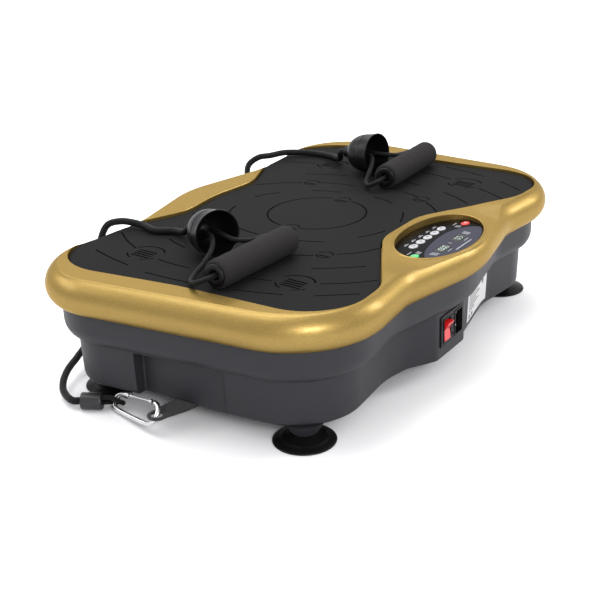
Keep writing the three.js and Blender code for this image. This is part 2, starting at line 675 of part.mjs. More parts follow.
const motorStart = BELT_X + BELT_WIDTH / 2 + 8;
const motorShaft = rod('x', 4, motorStart - GAP - (BELT_X - BELT_WIDTH), (motorStart - GAP + BELT_X - BELT_WIDTH) / 2,
  MOTOR_Y, MOTOR_Z, 20);
add('motor_pulley', toGeometry(join(pulley(SMALL_PULLEY_RADIUS, 0, BELT_X, MOTOR_Y, MOTOR_Z), motorShaft)), STEEL);

// open belt round both pulleys, in the plane across the shafts
function beltLoop(grow) {
  const across = new THREE.Vector2(MOTOR_Y - SHAFT_Y, MOTOR_Z - SHAFT_Z);
  const along = Math.atan2(across.y, across.x);
  const tangent = Math.acos((BIG_PULLEY_RADIUS - SMALL_PULLEY_RADIUS) / across.length());
  const arc = (y, z, radius, from, to, count) => Array.from({ length: count + 1 }, (_, i) => {
    const angle = from + ((to - from) * i) / count;
    return new THREE.Vector2(y + (radius + grow) * Math.cos(angle), z + (radius + grow) * Math.sin(angle));
  });
  return [
    ...arc(SHAFT_Y, SHAFT_Z, BIG_PULLEY_RADIUS, along + tangent, along + 2 * Math.PI - tangent, 24),
    ...arc(MOTOR_Y, MOTOR_Z, SMALL_PULLEY_RADIUS, along - tangent, along + tangent, 12),
  ];
}
const beltShape = new THREE.Shape(beltLoop(GAP + BELT_THICKNESS));
beltShape.holes.push(new THREE.Path(beltLoop(GAP)));
const belt = new THREE.ExtrudeGeometry(beltShape, { depth: BELT_WIDTH, bevelEnabled: false });
belt.rotateY(Math.PI / 2);
belt.rotateX(Math.PI / 2);
belt.translate(BELT_X - BELT_WIDTH / 2, 0, 0);
add('drive_belt', toGeometry(toSolid(belt)), RUBBER);

const motorEnd = motorStart + MOTOR_LENGTH;
add('motor_body', toGeometry(rod('x', MOTOR_RADIUS, MOTOR_LENGTH, (motorStart + motorEnd) / 2, MOTOR_Y, MOTOR_Z, 40)), BLACK);
const cradle = cut(
  join(
    box(motorStart + 10, motorEnd - 10, MOTOR_Y - MOTOR_RADIUS - 4, MOTOR_Y + MOTOR_RADIUS + 4, standZ, MOTOR_Z - 12),
    box(motorStart + 10, motorEnd - 10, MOTOR_Y - MOTOR_RADIUS - 14, MOTOR_Y + MOTOR_RADIUS + 14, standZ, standZ + 4),
  ),
  rod('x', MOTOR_RADIUS + GAP, MOTOR_LENGTH + 20, (motorStart + motorEnd) / 2, MOTOR_Y, MOTOR_Z, 40),
);
add('motor_cradle', toGeometry(cradle), STEEL);

// power board on short posts, with its transformer and two capacitors
const powerBoard = join(
  box(-130, -50, -98, -48, standZ + 5, standZ + 6.6),
  ...[[-124, -92], [-56, -92], [-124, -54], [-56, -54]].map(([x, y]) => rod('z', 3, 5.5, x, y, standZ + 2.75, 12)),
  box(-122, -92, -90, -62, standZ + 6, standZ + 30),
  rod('z', 7, 24, -78, -84, standZ + 18, 20),
  rod('z', 7, 24, -78, -64, standZ + 18, 20),
);
add('power_board', toGeometry(powerBoard), BOARD);

// ---- bands --------------------------------------------------------------------------------
const v = (x, y, z) => new THREE.Vector3(x, y, z);

// a round cord through points chosen by hand
function cord(points, radius, steps, sides = 8) {
  const section = new THREE.Shape(
    Array.from({ length: sides }, (_, i) => {
      const angle = (2 * Math.PI * i) / sides;
      return new THREE.Vector2(radius * Math.cos(angle), radius * Math.sin(angle));
    }),
  );
  const extrudePath = new THREE.CatmullRomCurve3(points, false, 'centripetal');
  return toGeometry(toSolid(new THREE.ExtrudeGeometry(section, { steps, extrudePath, bevelEnabled: false })));
}

// each side's own anchor tab, snap hook, cord end and band; the right side mirrors the left
const EYE = v(-END_HALF - TAB_REACH, 9, FOOT_CLEARANCE - GAP - TAB_THICKNESS / 2);
const tabRoot = v(EYE.x + TAB_LENGTH, -9, EYE.z);
const hookAlong = v(0.247, 0.96, -0.13).normalize();
const hookAcross = v(0.63, -0.06, 0.775);
hookAcross.addScaledVector(hookAlong, -hookAcross.dot(hookAlong)).normalize();
const hookNormal = hookAlong.clone().cross(hookAcross);
const HOOK_LENGTH = 70;
const HOOK_WIDE = 10.5; // radius of the end in the eye
const HOOK_NARROW = 7.5; // radius of the end in the band
const hookPoint = (along, across) =>
  EYE.clone().addScaledVector(hookAlong, along).addScaledVector(hookAcross, across);

// the wire from its nose round the narrow end, along its back, through the eye to the gate pin
function hookWire() {
  const arc = (along, radius, from, to, count) => Array.from({ length: count + 1 }, (_, i) => {
    const angle = THREE.MathUtils.degToRad(from + ((to - from) * i) / count);
    return hookPoint(along + radius * Math.cos(angle), radius * Math.sin(angle));
  });
  return [
    hookPoint(HOOK_LENGTH - HOOK_NARROW - 11, HOOK_NARROW + 1),
    ...arc(HOOK_LENGTH - HOOK_NARROW, HOOK_NARROW, 82, -82, 6),
    ...arc(HOOK_WIDE, HOOK_WIDE, -85, -268, 8),
  ];
}
const gateStart = hookPoint(HOOK_WIDE + 3.4, HOOK_WIDE);
const gateEnd = hookPoint(HOOK_LENGTH - HOOK_NARROW - 14, HOOK_NARROW + 1.3);

const mirrored3 = (point) => v(-point.x, point.y, point.z);
const mirrorX = (geometry) => {
  const copy = toSolid(geometry).mirror([1, 0, 0]);
  return toGeometry(copy);
};
const addPair = (name, geometry, look) => {
  add(`${name}_left`, geometry, look);
  add(`${name}_right`, mirrorX(geometry), look);
};

function anchorTab() {
  const along = EYE.clone().sub(tabRoot);
  const length = along.length();
  const half = TAB_WIDTH / 2;
  const ring = TAB_EYE + 3.4;
  const shape = new THREE.Shape();
  shape.moveTo(0, -half);
  shape.lineTo(length - 26, -half);
  shape.lineTo(length - 4, -ring);
  shape.absarc(length, 0, ring, -Math.PI / 2, Math.PI / 2, false);
  shape.lineTo(length - 4, ring);
  shape.lineTo(length - 26, half);
  shape.lineTo(0, half);
  shape.closePath();
  const eye = new THREE.Path();
  eye.absarc(length, 0, TAB_EYE, 0, 2 * Math.PI, true);
  shape.holes.push(eye);
  const geometry = new THREE.ExtrudeGeometry(shape, { depth: TAB_THICKNESS, bevelEnabled: false, curveSegments: 10 });
  geometry.translate(0, 0, -TAB_THICKNESS / 2);
  geometry.rotateZ(Math.atan2(along.y, along.x));
  geometry.translate(tabRoot.x, tabRoot.y, tabRoot.z);
  return toGeometry(toSolid(geometry));
}
addPair('anchor_tab', anchorTab(), BLACK);
addPair('snap_hook', cord(hookWire(), CARABINER_WIRE, 30), ZINC);
addPair('hook_gate', cord([gateStart, gateEnd], CARABINER_WIRE - 0.8, 4), ZINC);

// the doubled end of the band: a sleeve, and the short loop that holds the hook
const sleeveStart = v(EYE.x + 1.2, 106, 9);
const sleeveEnd = v(EYE.x + 11.2, 87.5, 9);
const SLEEVE_RADIUS = 8.6;
function bandEnd() {
  const sleeve = toSolid(cord([sleeveStart, sleeveEnd], SLEEVE_RADIUS, 4, 16));
  const back = sleeveEnd.clone().lerp(sleeveStart, 0.25);
  const offset = (point, out) => point.clone().addScaledVector(hookNormal, out);
  const nose = hookPoint(HOOK_LENGTH + 1, 0);
  const inside = hookPoint(HOOK_LENGTH - HOOK_NARROW - 0.2, 0);
  const loop = cord([
    offset(back, 4.2), offset(nose, 6.8), offset(inside, 4), offset(inside, -4), offset(nose, -6.8), offset(back, -4.2),
  ], 2.4, 26, 8);
  return toGeometry(sleeve.add(toSolid(loop)));
}
addPair('band_end', bandEnd(), RUBBER);

// ---- bands over the rear rim --------------------------------------------------------------
const BAND_RADIUS = BAND_DIAMETER / 2;
const pastSleeve = (t) => sleeveStart.clone().lerp(sleeveEnd, -t);
const bandRest = MAT_TOP + BAND_RADIUS + GAP; // centre of a band lying on the mat
const bandRim = DECK_HEIGHT + BAND_RADIUS + GAP; // centre of a band lying on the rim
const leftBand = [
  pastSleeve(0.06), pastSleeve(0.4), v(-267, 133, 10), v(-254, 146, 13), v(-236, 156, 16.5), v(-214, 164, 19),
  v(-190, 171, 26), v(-169, 180, 46), v(-154, 185, 80), v(-146, 183, 116), v(-141, 173, 139.5),
  v(-135, 160, bandRim + 0.8), v(-130, 147, bandRim), v(-127.5, 136, bandRest + 1), v(-131.5, 115, bandRest),
  v(-124, 99, bandRest), v(-127, 82, bandRest + 2.5),
];
const rightBand = [
  mirrored3(pastSleeve(0.06)), mirrored3(pastSleeve(0.4)), v(269, 128, 9.5), v(258, 142, 12), v(241, 172, 24), v(206, 197, 44),
  v(163, 200, 78), v(137, 193, 112), v(127, 183, 135), v(131, 171, bandRim + 1.4), v(147, 165, bandRim + 0.6),
  v(168, 158, bandRim), v(184, 145, bandRest + 1), v(192, 124, bandRest), v(190, 102, bandRest), v(179, 84, bandRest + 2.5),
];

// ---- handles ------------------------------------------------------------------------------
const CUP_PROFILE = [ // outside then inside, radius and distance from the neck end
  [BAND_RADIUS + 0.9, 0], [6.6, 0], [6.6, 8], [11, 10.5], [16.6, 15], [20.4, 21], [22.3, 28], [22.8, 38], [CUP_RADIUS, CUP_LENGTH],
  [CUP_RADIUS - 1.6, CUP_LENGTH], [21, 38], [20.5, 28], [18.6, 21.8], [15.2, 16.6], [10, 12.6], [BAND_RADIUS + 0.9, 11],
];
const GRIP_Z = MAT_TOP + GRIP_RADIUS + GAP;
const handles = [
  {
    word: 'left',
    band: leftBand,
    mouth: v(-158, 14, MAT_TOP + CUP_RADIUS + 0.8),
    facing: v(-0.4, -0.9, 0.09),
    near: v(-226, -32.3, GRIP_Z),
    far: v(-110.5, -36.4, GRIP_Z),
    nearStrand: [v(-180, 5, 155), v(-199, 1, 147), v(-216, -1, 142), v(-231, -9, 142), v(-238, -21, 146)],
    farStrand: [v(-100, -31, 150), v(-99.5, -19, 148.5), v(-113, -10.5, 149.5), v(-136, -8, 152), v(-153, 0, 157)],
  },
  {
    word: 'right',
    band: rightBand,
    mouth: v(159, 20, MAT_TOP + CUP_RADIUS + 0.8),
    facing: v(-0.12, -0.97, 0.09),
    near: v(109.5, -17.6, GRIP_Z),
    far: v(225.4, -11.4, GRIP_Z),
    nearStrand: [v(142, 17, 156), v(122, 10, 148), v(106, 4, 142.5), v(96, -7, 144), v(98, -16, 149)],
    farStrand: [v(236, -8, 150), v(238, 4, 148.5), v(224, 12, 149), v(200, 11, 152), v(176, 10, 157)],
  },
];
for (const { word, band, mouth, facing, near, far, nearStrand, farStrand } of handles) {
  const out = facing.normalize();
  const neck = mouth.clone().addScaledVector(out, -CUP_LENGTH);
  const aim = (geometry, along, origin) => {
    const moved = geometry.clone();
    moved.applyQuaternion(new THREE.Quaternion().setFromUnitVectors(v(0, 0, 1), along));
    moved.translate(origin.x, origin.y, origin.z);
    return toGeometry(toSolid(moved));
  };
  add(`handle_cup_${word}`, aim(turned(CUP_PROFILE, 20), out, neck), BLACK);
  add(`band_cord_${word}`, cord([...band, neck.clone().addScaledVector(out, -7), neck.clone().addScaledVector(out, 6)],
    BAND_RADIUS, 52, 6), RUBBER);

  const along = far.clone().sub(near).normalize();
  const middle = near.clone().lerp(far, 0.5);
  const start = middle.clone().addScaledVector(along, -GRIP_LENGTH / 2);
  const bore = GRIP_BORE / 2;
  const core = bore + TUBE_WALL;
  const endCap = GRIP_RADIUS - 3;
  add(`handle_tube_${word}`, aim(turned([
    [bore, 0], [endCap, 0], [endCap, 2], [core, 2], [core, GRIP_LENGTH - 2], [endCap, GRIP_LENGTH - 2],
    [endCap, GRIP_LENGTH], [bore, GRIP_LENGTH],
  ], 24), along, start), BLACK);
  add(`handle_grip_${word}`, aim(turned([
    [core + GAP, 2 + GAP], [GRIP_RADIUS - 1.5, 2 + GAP], [GRIP_RADIUS, 4.5], [GRIP_RADIUS, GRIP_LENGTH - 4.5],
    [GRIP_RADIUS - 1.5, GRIP_LENGTH - 2 - GAP], [core + GAP, GRIP_LENGTH - 2 - GAP],
  ], 24), along, start), FOAM);

  const inCup = (side) => mouth.clone().addScaledVector(out, -24).add(v(side * 5, 0, 0));
  add(`handle_loop_${word}`, cord([
    inCup(-1), mouth.clone().addScaledVector(out, -6).add(v(-6, 0, -1)), ...nearStrand,
    start.clone().addScaledVector(along, -3), start.clone().addScaledVector(along, 20), middle,
    start.clone().addScaledVector(along, GRIP_LENGTH - 20), start.clone().addScaledVector(along, GRIP_LENGTH + 3),
    ...farStrand, mouth.clone().addScaledVector(out, -6).add(v(6, 0, -1)), inCup(1),
  ], LOOP_DIAMETER / 2, 60, 6), RUBBER);
}

export default plate;
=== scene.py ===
import math

import bmesh
import bpy
from mathutils import Matrix, Vector


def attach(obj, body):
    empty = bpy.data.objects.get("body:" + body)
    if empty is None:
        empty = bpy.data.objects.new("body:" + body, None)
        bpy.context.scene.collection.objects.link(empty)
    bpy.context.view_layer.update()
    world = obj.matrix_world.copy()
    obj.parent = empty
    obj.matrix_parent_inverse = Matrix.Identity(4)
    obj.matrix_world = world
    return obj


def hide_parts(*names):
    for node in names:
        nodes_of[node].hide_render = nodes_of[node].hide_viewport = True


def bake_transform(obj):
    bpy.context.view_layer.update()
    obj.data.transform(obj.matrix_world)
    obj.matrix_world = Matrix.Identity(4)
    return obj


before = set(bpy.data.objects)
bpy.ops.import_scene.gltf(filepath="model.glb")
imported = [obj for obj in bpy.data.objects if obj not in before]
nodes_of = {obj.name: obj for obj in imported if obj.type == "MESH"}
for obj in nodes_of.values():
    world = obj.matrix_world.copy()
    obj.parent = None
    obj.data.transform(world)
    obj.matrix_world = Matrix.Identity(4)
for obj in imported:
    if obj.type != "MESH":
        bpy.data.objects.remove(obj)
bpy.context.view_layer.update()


# ---- Floor, light and camera --------------------------------------------------------------
# A white floor under soft boxes, and a long lens a little above the plate's near left corner.
# Nothing here belongs to the plate.
def shade(name, base, rough, metal=0.0, **sockets):
    """a material with one Principled shader; returns it with the shader's node"""
    made = bpy.data.materials.new(name)
    made.use_nodes = True
    shader = made.node_tree.nodes["Principled BSDF"]
    shader.inputs["Base Color"].default_value = (*base, 1.0)
    shader.inputs["Roughness"].default_value = rough
    shader.inputs["Metallic"].default_value = metal
    for socket, value in sockets.items():
        shader.inputs[socket.replace("_", " ")].default_value = value
    return made, shader


def placed(name, data):
    """a new object in the scene"""
    thing = bpy.data.objects.new(name, data)
    bpy.context.scene.collection.objects.link(thing)
    return thing


def build(name, points, faces, material, smooth=True):
    """an object from points in millimetres"""
    mesh = bpy.data.meshes.new(name)
    mesh.from_pydata([tuple(c / 1000 for c in p) for p in points], [], faces)
    mesh.validate()
    mesh.polygons.foreach_set("use_smooth", [smooth] * len(mesh.polygons))
    if material:
        mesh.materials.append(material)
    return placed(name, mesh)


paper = shade("white_floor", (0.88, 0.88, 0.89), 0.9)[0]
FLOOR_REACH, FLOOR_DROP, FLOOR_SIDES = 30000, 0.15, 96
around = [2 * math.pi * k / FLOOR_SIDES for k in range(FLOOR_SIDES)]
rim = [(FLOOR_REACH * math.cos(t), FLOOR_REACH * math.sin(t), -FLOOR_DROP) for t in around]
white_floor = build("white_floor", rim, [tuple(range(FLOOR_SIDES))], paper)

world = bpy.data.worlds.new("studio")
bpy.context.scene.world = world
world.use_nodes = True
world.node_tree.nodes["Background"].inputs["Color"].default_value = (0.98, 0.985, 1.0, 1.0)
world.node_tree.nodes["Background"].inputs["Strength"].default_value = 0.8


def soft_box(name, place, aim, width, height, watts):
    """a rectangular lamp that looks at a point; sizes in metres"""
    lamp = bpy.data.lights.new(name, "AREA")
    lamp.shape = "RECTANGLE"
    lamp.size = width
    lamp.size_y = height
    lamp.energy = watts
    thing = placed(name, lamp)
    thing.location = place
    thing.rotation_euler = (Vector(place) - Vector(aim)).to_track_quat("Z", "Y").to_euler()


soft_box("overhead_box", (0.1, 0.5, 2.0), (0.0, 0.0, 0.1), 2.2, 1.6, 29)
soft_box("near_box", (-1.5, -1.7, 1.15), (0.0, 0.0, 0.1), 0.8, 0.6, 24)
soft_box("right_box", (1.7, -1.5, 1.2), (0.1, 0.0, 0.1), 0.6, 0.9, 17)
soft_box("rear_box", (-0.9, 2.1, 1.5), (0.0, 0.0, 0.1), 1.8, 0.8, 12)
soft_box("backdrop_box", (2.5, 1.8, 1.9), (3.0, 2.2, 0.0), 3.2, 1.4, 44)

VIEW_PLACE = (-0.9868, -0.6381, 0.5279)
VIEW_TURN, VIEW_DROP, VIEW_ROLL = -55.97, 22.595, -1.908
eye = bpy.data.cameras.new("view")
eye.sensor_width = 36.0
eye.lens = 69.66
viewer = placed("view", eye)
viewer.matrix_world = (
    Matrix.Translation(VIEW_PLACE)
    @ Matrix.Rotation(math.radians(VIEW_TURN), 4, "Z")
    @ Matrix.Rotation(math.radians(90 - VIEW_DROP), 4, "X")
    @ Matrix.Rotation(math.radians(VIEW_ROLL), 4, "Z")
)
eye.clip_start = 0.05
bpy.context.scene.camera = viewer
bpy.context.scene.view_settings.view_transform = "Standard"
bpy.context.scene.view_settings.look = "Medium High Contrast"


# ---- Elastic bands ------------------------------------------------------------------------
# Each band is a rubber tube in a knitted sleeve, 7.2 mm thick. Its lower end is tied to the
# snap hook at the end of the plate, it comes up behind the corner, over the rear rim, and
# its upper end goes into the neck of the handle's cup.
GAP = 0.3
BAND = 3.6
DECK = 139.3
MAT_TOP = 136.3
bandRest = MAT_TOP + BAND + GAP
bandRim = DECK + BAND + GAP


def effect_group(name, wanted, given):
    """a shader node group with named inputs (name: value) and outputs (name: kind)"""
    group = bpy.data.node_groups.new(name, "ShaderNodeTree")
    for socket, value in wanted.items():
        kind = "NodeSocketColor" if hasattr(value, "__len__") else "NodeSocketFloat"
        group.interface.new_socket(socket, in_out="INPUT", socket_type=kind).default_value = value
    for socket, kind in given.items():
        group.interface.new_socket(socket, in_out="OUTPUT", socket_type=kind)
    return group, group.nodes.new("NodeGroupInput"), group.nodes.new("NodeGroupOutput")


def node(tree, kind, **values):
    """a node with its properties and unlinked inputs set by name"""
    made = tree.nodes.new("ShaderNode" + kind)
    for key, value in values.items():
        if hasattr(made, key):
            setattr(made, key, value)
        else:
            made.inputs[key.replace("_", " ")].default_value = value
    return made


def grouped(tree, group, **values):
    """a node that holds a node group, with its inputs set by name"""
    made = tree.nodes.new("ShaderNodeGroup")
    made.node_tree = group
    for key, value in values.items():
        made.inputs[key].default_value = value
    return made


def chain(tree, *pairs):
    """links pairs of an output and an input"""
    for source, target in pairs:
        tree.links.new(source, target)


def on_object(tree, *textures):
    """feeds the object's own coordinates to textures"""
    place = node(tree, "TexCoord")
    chain(tree, *((place.outputs["Object"], texture.inputs[0]) for texture in textures))


def maths(tree, operation, a, b=None, c=None):
    """a maths node on numbers or outputs; returns its output"""
    made = tree.nodes.new("ShaderNodeMath")
    made.operation = operation
    for i, value in enumerate((a, b, c)):
        if value is None:
            continue
        if hasattr(value, "is_output"):
            tree.links.new(value, made.inputs[i])
        else:
            made.inputs[i].default_value = value
    return made.outputs[0]


# knitted sleeve: two families of yarns that cross round the cord
knit, knit_in, knit_out = effect_group(
    "knitted sleeve", {"Yarns": 16.0, "Pitch": 0.9},
    {"Height": "NodeSocketFloat", "Shadow": "NodeSocketFloat"})
knit_uv = node(knit, "UVMap")
knit_split = node(knit, "SeparateXYZ")
chain(knit, (knit_uv.outputs[0], knit_split.inputs[0]))
knit_round = maths(knit, "MULTIPLY", knit_split.outputs[0], knit_in.outputs["Yarns"])
knit_along = maths(knit, "MULTIPLY", knit_split.outputs[1], knit_in.outputs["Pitch"])
yarns_to, yarns_fro = (
    maths(knit, "SINE", maths(knit, "MULTIPLY", maths(knit, step, knit_round, knit_along), 2 * math.pi))
    for step in ("ADD", "SUBTRACT"))
knit_height = maths(knit, "MAXIMUM", yarns_to, yarns_fro)
chain(knit, (knit_height, knit_out.inputs["Height"]),
      (maths(knit, "MULTIPLY_ADD", knit_height, 0.3, 0.7), knit_out.inputs["Shadow"]))

# handling wear: broad soft patches where the finish is a little duller or lighter
wear, wear_in, wear_out = effect_group(
    "handling wear", {"Scale": 18.0, "Amount": 0.1, "Roughness": 0.5, "Color": (0.5, 0.5, 0.5, 1.0)},
    {"Roughness": "NodeSocketFloat", "Color": "NodeSocketColor"})
wear_noise = node(wear, "TexNoise", Detail=6.0)
wear_fine = node(wear, "TexNoise", Detail=3.0)
wear_mix = node(wear, "MixRGB", blend_type="MULTIPLY")
on_object(wear, wear_noise, wear_fine)
chain(wear, (wear_in.outputs["Scale"], wear_noise.inputs["Scale"]),
      (maths(wear, "MULTIPLY", wear_in.outputs["Scale"], 14.0), wear_fine.inputs["Scale"]))
wear_both = maths(wear, "ADD", maths(wear, "SUBTRACT", wear_noise.outputs[0], 0.5),
                  maths(wear, "MULTIPLY", maths(wear, "SUBTRACT", wear_fine.outputs[0], 0.5), 0.5))
wear_shift = maths(wear, "MULTIPLY", wear_both, wear_in.outputs["Amount"])
wear_tone = maths(wear, "MULTIPLY_ADD", wear_shift, 1.6, 1.0)
wear_grey = node(wear, "CombineXYZ")
chain(wear, (maths(wear, "ADD", wear_in.outputs["Roughness"], wear_shift), wear_out.inputs["Roughness"]),
      (wear_tone, wear_grey.inputs[0]), (wear_tone, wear_grey.inputs[1]), (wear_tone, wear_grey.inputs[2]),
      (wear_in.outputs["Color"], wear_mix.inputs[1]), (wear_grey.outputs[0], wear_mix.inputs[2]),
      (wear_mix.outputs[0], wear_out.inputs["Color"]))
wear_mix.inputs[0].default_value = 1.0


def worn(made, shader, base, rough, scale, amount):
    """puts handling wear on a material's colour and roughness"""
    tree = made.node_tree
    group = grouped(tree, wear, Scale=scale, Amount=amount, Roughness=rough, Color=(*base, 1.0))
    chain(tree, (group.outputs["Roughness"], shader.inputs["Roughness"]),
          (group.outputs["Color"], shader.inputs["Base Color"]))
    return group


def bumped(made, shader, height, distance):
    """feeds a height through a bump node to the shader's normal"""
    tree = made.node_tree
    bump = node(tree, "Bump", Distance=distance, Strength=1.0)
    chain(tree, (height, bump.inputs["Height"]), (bump.outputs[0], shader.inputs["Normal"]))


def knitted(name, base, yarns, pitch):
    """a worn knitted sleeve; pitch is how fast the yarns go round along the cord"""
    made, shader = shade(name, base, 0.5, Specular_IOR_Level=0.2, Sheen_Weight=0.03)
    tree = made.node_tree
    group = worn(made, shader, base, 0.46, 30.0, 0.12)
    sleeve = grouped(tree, knit, Yarns=yarns, Pitch=pitch)
    dark = node(tree, "MixRGB", blend_type="MULTIPLY")
    dark.inputs[0].default_value = 1.0
    chain(tree, (group.outputs["Color"], dark.inputs[1]), (sleeve.outputs["Shadow"], dark.inputs[2]),
          (dark.outputs[0], shader.inputs["Base Color"]))
    bumped(made, shader, sleeve.outputs["Height"], 0.00018)
    return made


bandSleeve = knitted("band_sleeve", (0.008, 0.008, 0.009), 14.0, 0.42)
loopSleeve = knitted("loop_sleeve", (0.008, 0.008, 0.009), 10.0, 0.5)


def mix(first, last, start, stop, t):
    """the point at t between two points that stand at start and stop"""
    return first * ((stop - t) / (stop - start)) + last * ((t - start) / (stop - start))


def flowing(points, step=2.0):
    """points about a step apart on the smooth curve through the given ones"""
    p = [Vector(q) for q in points]
    p = [p[0] * 2 - p[1], *p, p[-1] * 2 - p[-2]]
    line = []
    for a, b, c, d in zip(p, p[1:], p[2:], p[3:]):
        t0 = 0.0
        t1 = t0 + max((b - a).length, 1e-6) ** 0.5
        t2 = t1 + max((c - b).length, 1e-6) ** 0.5
        t3 = t2 + max((d - c).length, 1e-6) ** 0.5
        count = max(2, round((c - b).length / step))
        for k in range(count):
            t = t1 + (t2 - t1) * k / count
            one, two, three = mix(a, b, t0, t1, t), mix(b, c, t1, t2, t), mix(c, d, t2, t3, t)
            line.append(mix(mix(one, two, t0, t2, t), mix(two, three, t1, t3, t), t1, t2, t))
    line.append(p[-2].copy())
    return line


def lattice(rings, count, closed=False):
    """quads between neighbouring rings of count points; closed joins the last to the first"""
    faces = []
    for r in range(rings if closed else rings - 1):
        low, high = r * count, (r + 1) % rings * count
        faces += [(low + k, low + (k + 1) % count, high + (k + 1) % count, high + k) for k in range(count)]
    return faces


def tube(name, line, radius, material, sides=20):
    """a closed round tube along a line in millimetres, with its length in the second UV axis"""
    rings = []
    side = None
    for i, here in enumerate(line):
        ahead = (line[min(i + 1, len(line) - 1)] - line[max(i - 1, 0)]).normalized()
        if side is None:
            side = ahead.orthogonal().normalized()
        side = (side - ahead * side.dot(ahead)).normalized()
        up = ahead.cross(side)
        ring = []
        for k in range(sides):
            angle = 2 * math.pi * k / sides
            ring.append(here + (side * math.cos(angle) + up * math.sin(angle)) * radius)
        rings.append(ring)
    points = [p for ring in rings for p in ring] + [line[0], line[-1]]
    faces = lattice(len(rings), sides)
    last = (len(rings) - 1) * sides
    faces += [(len(points) - 2, (k + 1) % sides, k) for k in range(sides)]
    faces += [(len(points) - 1, last + k, last + (k + 1) % sides) for k in range(sides)]
    thing = build(name, points, faces, material)
    run = [0.0]
    for a, b in zip(line, line[1:]):
        run.append(run[-1] + (b - a).length)
    layer = thing.data.uv_layers.new(name="UVMap")
    for face in thing.data.polygons:
        wrap = face.index % sides == sides - 1 and face.index < (len(rings) - 1) * sides
        for corner in face.loop_indices:
            vertex = thing.data.loops[corner].vertex_index
            ring, k = divmod(min(vertex, last + sides - 1), sides)
            u = 1.0 if wrap and k == 0 else k / sides
            layer.data[corner].uv = (u, run[ring])
    return thing


sleeveStart = Vector((-270.8, 106, 9))
sleeveEnd = Vector((-260.8, 87.5, 9))


def past_sleeve(t):
    """a point on the sleeve's axis beyond its outer end"""
    return sleeveStart.lerp(sleeveEnd, -t)


def other_side(point):
    """the mirror image of a point at the other end of the plate"""
    return Vector((-point[0], point[1], point[2]))


CUP_LONG, CUP_HIGH = 46, 24.8
cups = {}
for word, place, facing in (("left", (-158, 14), (-0.4, -0.9, 0.09)),
                            ("right", (159, 20), (-0.12, -0.97, 0.09))):
    mouth, out = Vector((*place, MAT_TOP + CUP_HIGH)), Vector(facing).normalized()
    cups[word] = {"mouth": mouth, "facing": out, "neck": mouth - out * CUP_LONG}

lower_runs = {
    "left": [past_sleeve(0.06), past_sleeve(0.4), (-267, 133, 10), (-254, 146, 13), (-236, 156, 16.5),
             (-214, 164, 19), (-190, 171, 26), (-169, 180, 46), (-154, 185, 80), (-146, 183, 116),
             (-141, 173, 139.5), (-135, 160, bandRim + 0.8)],
    "right": [other_side(past_sleeve(-0.1)), other_side(past_sleeve(0.4)), (269, 128, 9.5), (258, 142, 12),
              (241, 172, 24), (206, 197, 44), (163, 200, 78), (137, 193, 112), (127, 183, 135),
              (131, 171, bandRim + 1.4), (147, 165, bandRim + 0.6)],
}
upper_runs = {
    "left": [(-135, 160, bandRim + 0.8), (-130, 147, bandRim), (-127.5, 136, bandRest + 1),
             (-131.5, 115, bandRest), (-124, 99, bandRest), (-127, 82, bandRest + 2.5)],
    "right": [(147, 165, bandRim + 0.6), (168, 158, bandRim), (184, 145, bandRest + 1), (192, 124, bandRest),
              (190, 102, bandRest), (179, 84, bandRest + 2.5)],
}
for word, run in upper_runs.items():
    neck, out = cups[word]["neck"], cups[word]["facing"]
    whole = flowing([*lower_runs[word], *run[1:], neck - out * 7, neck + out * 6])
    seam = Vector(run[0])
    cut = min(range(len(whole)), key=lambda i: (whole[i] - seam).length)
    low, high = whole[: cut + 1], whole[cut:][::-1]
    lower = tube(f"band_lower_{word}", low, BAND, bandSleeve)
    upper = tube(f"band_upper_{word}", high, BAND, bandSleeve)
    for made in (lower, upper):
        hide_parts(f"band_cord_{word}")
    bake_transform(upper)
    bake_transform(lower)


# ---- Handle cups --------------------------------------------------------------------------
# A bell of soft black plastic at the end of each band. The band's knot sits inside it, and
# the two ends of the hand loop leave its mouth. A seam runs round the bell near its lip.
def grained(made, shader, scale, distance):
    """a fine moulded grain on a material"""
    grain = node(made.node_tree, "TexNoise", Scale=scale, Detail=4.0, Roughness=0.6)
    on_object(made.node_tree, grain)
    bumped(made, shader, grain.outputs[0], distance)


def coated(name, base, rough, scale, amount, grain=None, metal=0.0, **sockets):
    """a worn material; grain, when it is given, is the scale and depth of a moulded grain"""
    made, shader = shade(name, base, rough, metal, **sockets)
    worn(made, shader, base, rough, scale, amount)
    if grain:
        grained(made, shader, *grain)
    return made


softBlack = coated("cup_plastic", (0.008, 0.008, 0.009), 0.34, 22.0, 0.16, (900.0, 0.00006),
                   Specular_IOR_Level=0.28)


def turned(name, profile, origin, axis, material, sides=72):
    """a ring turned from [radius, distance] points round an axis, closed on itself"""
    frame_of = axis.to_track_quat("Z", "X").to_matrix()
    points = []
    for radius, along in profile:
        for k in range(sides):
            angle = 2 * math.pi * k / sides
            spot = Vector((radius * math.cos(angle), radius * math.sin(angle), along))
            points.append(origin + frame_of @ spot)
    return build(name, points, lattice(len(profile), sides, True), material)


def crisp(thing, degrees=35):
    """smooth shading that keeps edges steeper than this sharp"""
    bm = bmesh.new()
    bm.from_mesh(thing.data)
    bmesh.ops.recalc_face_normals(bm, faces=bm.faces)
    for edge in bm.edges:
        edge.smooth = len(edge.link_faces) == 2 and edge.calc_face_angle(0.0) < math.radians(degrees)
    for face in bm.faces:
        face.smooth = True
    bm.to_mesh(thing.data)
    bm.free()
    return thing


def piece(thing, body, finish, *stood_for):
    """this piece rides on a body and stands for CAD nodes, which it hides; finish is not used"""
    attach(thing, body)
    if stood_for:
        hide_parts(*stood_for)
    return thing


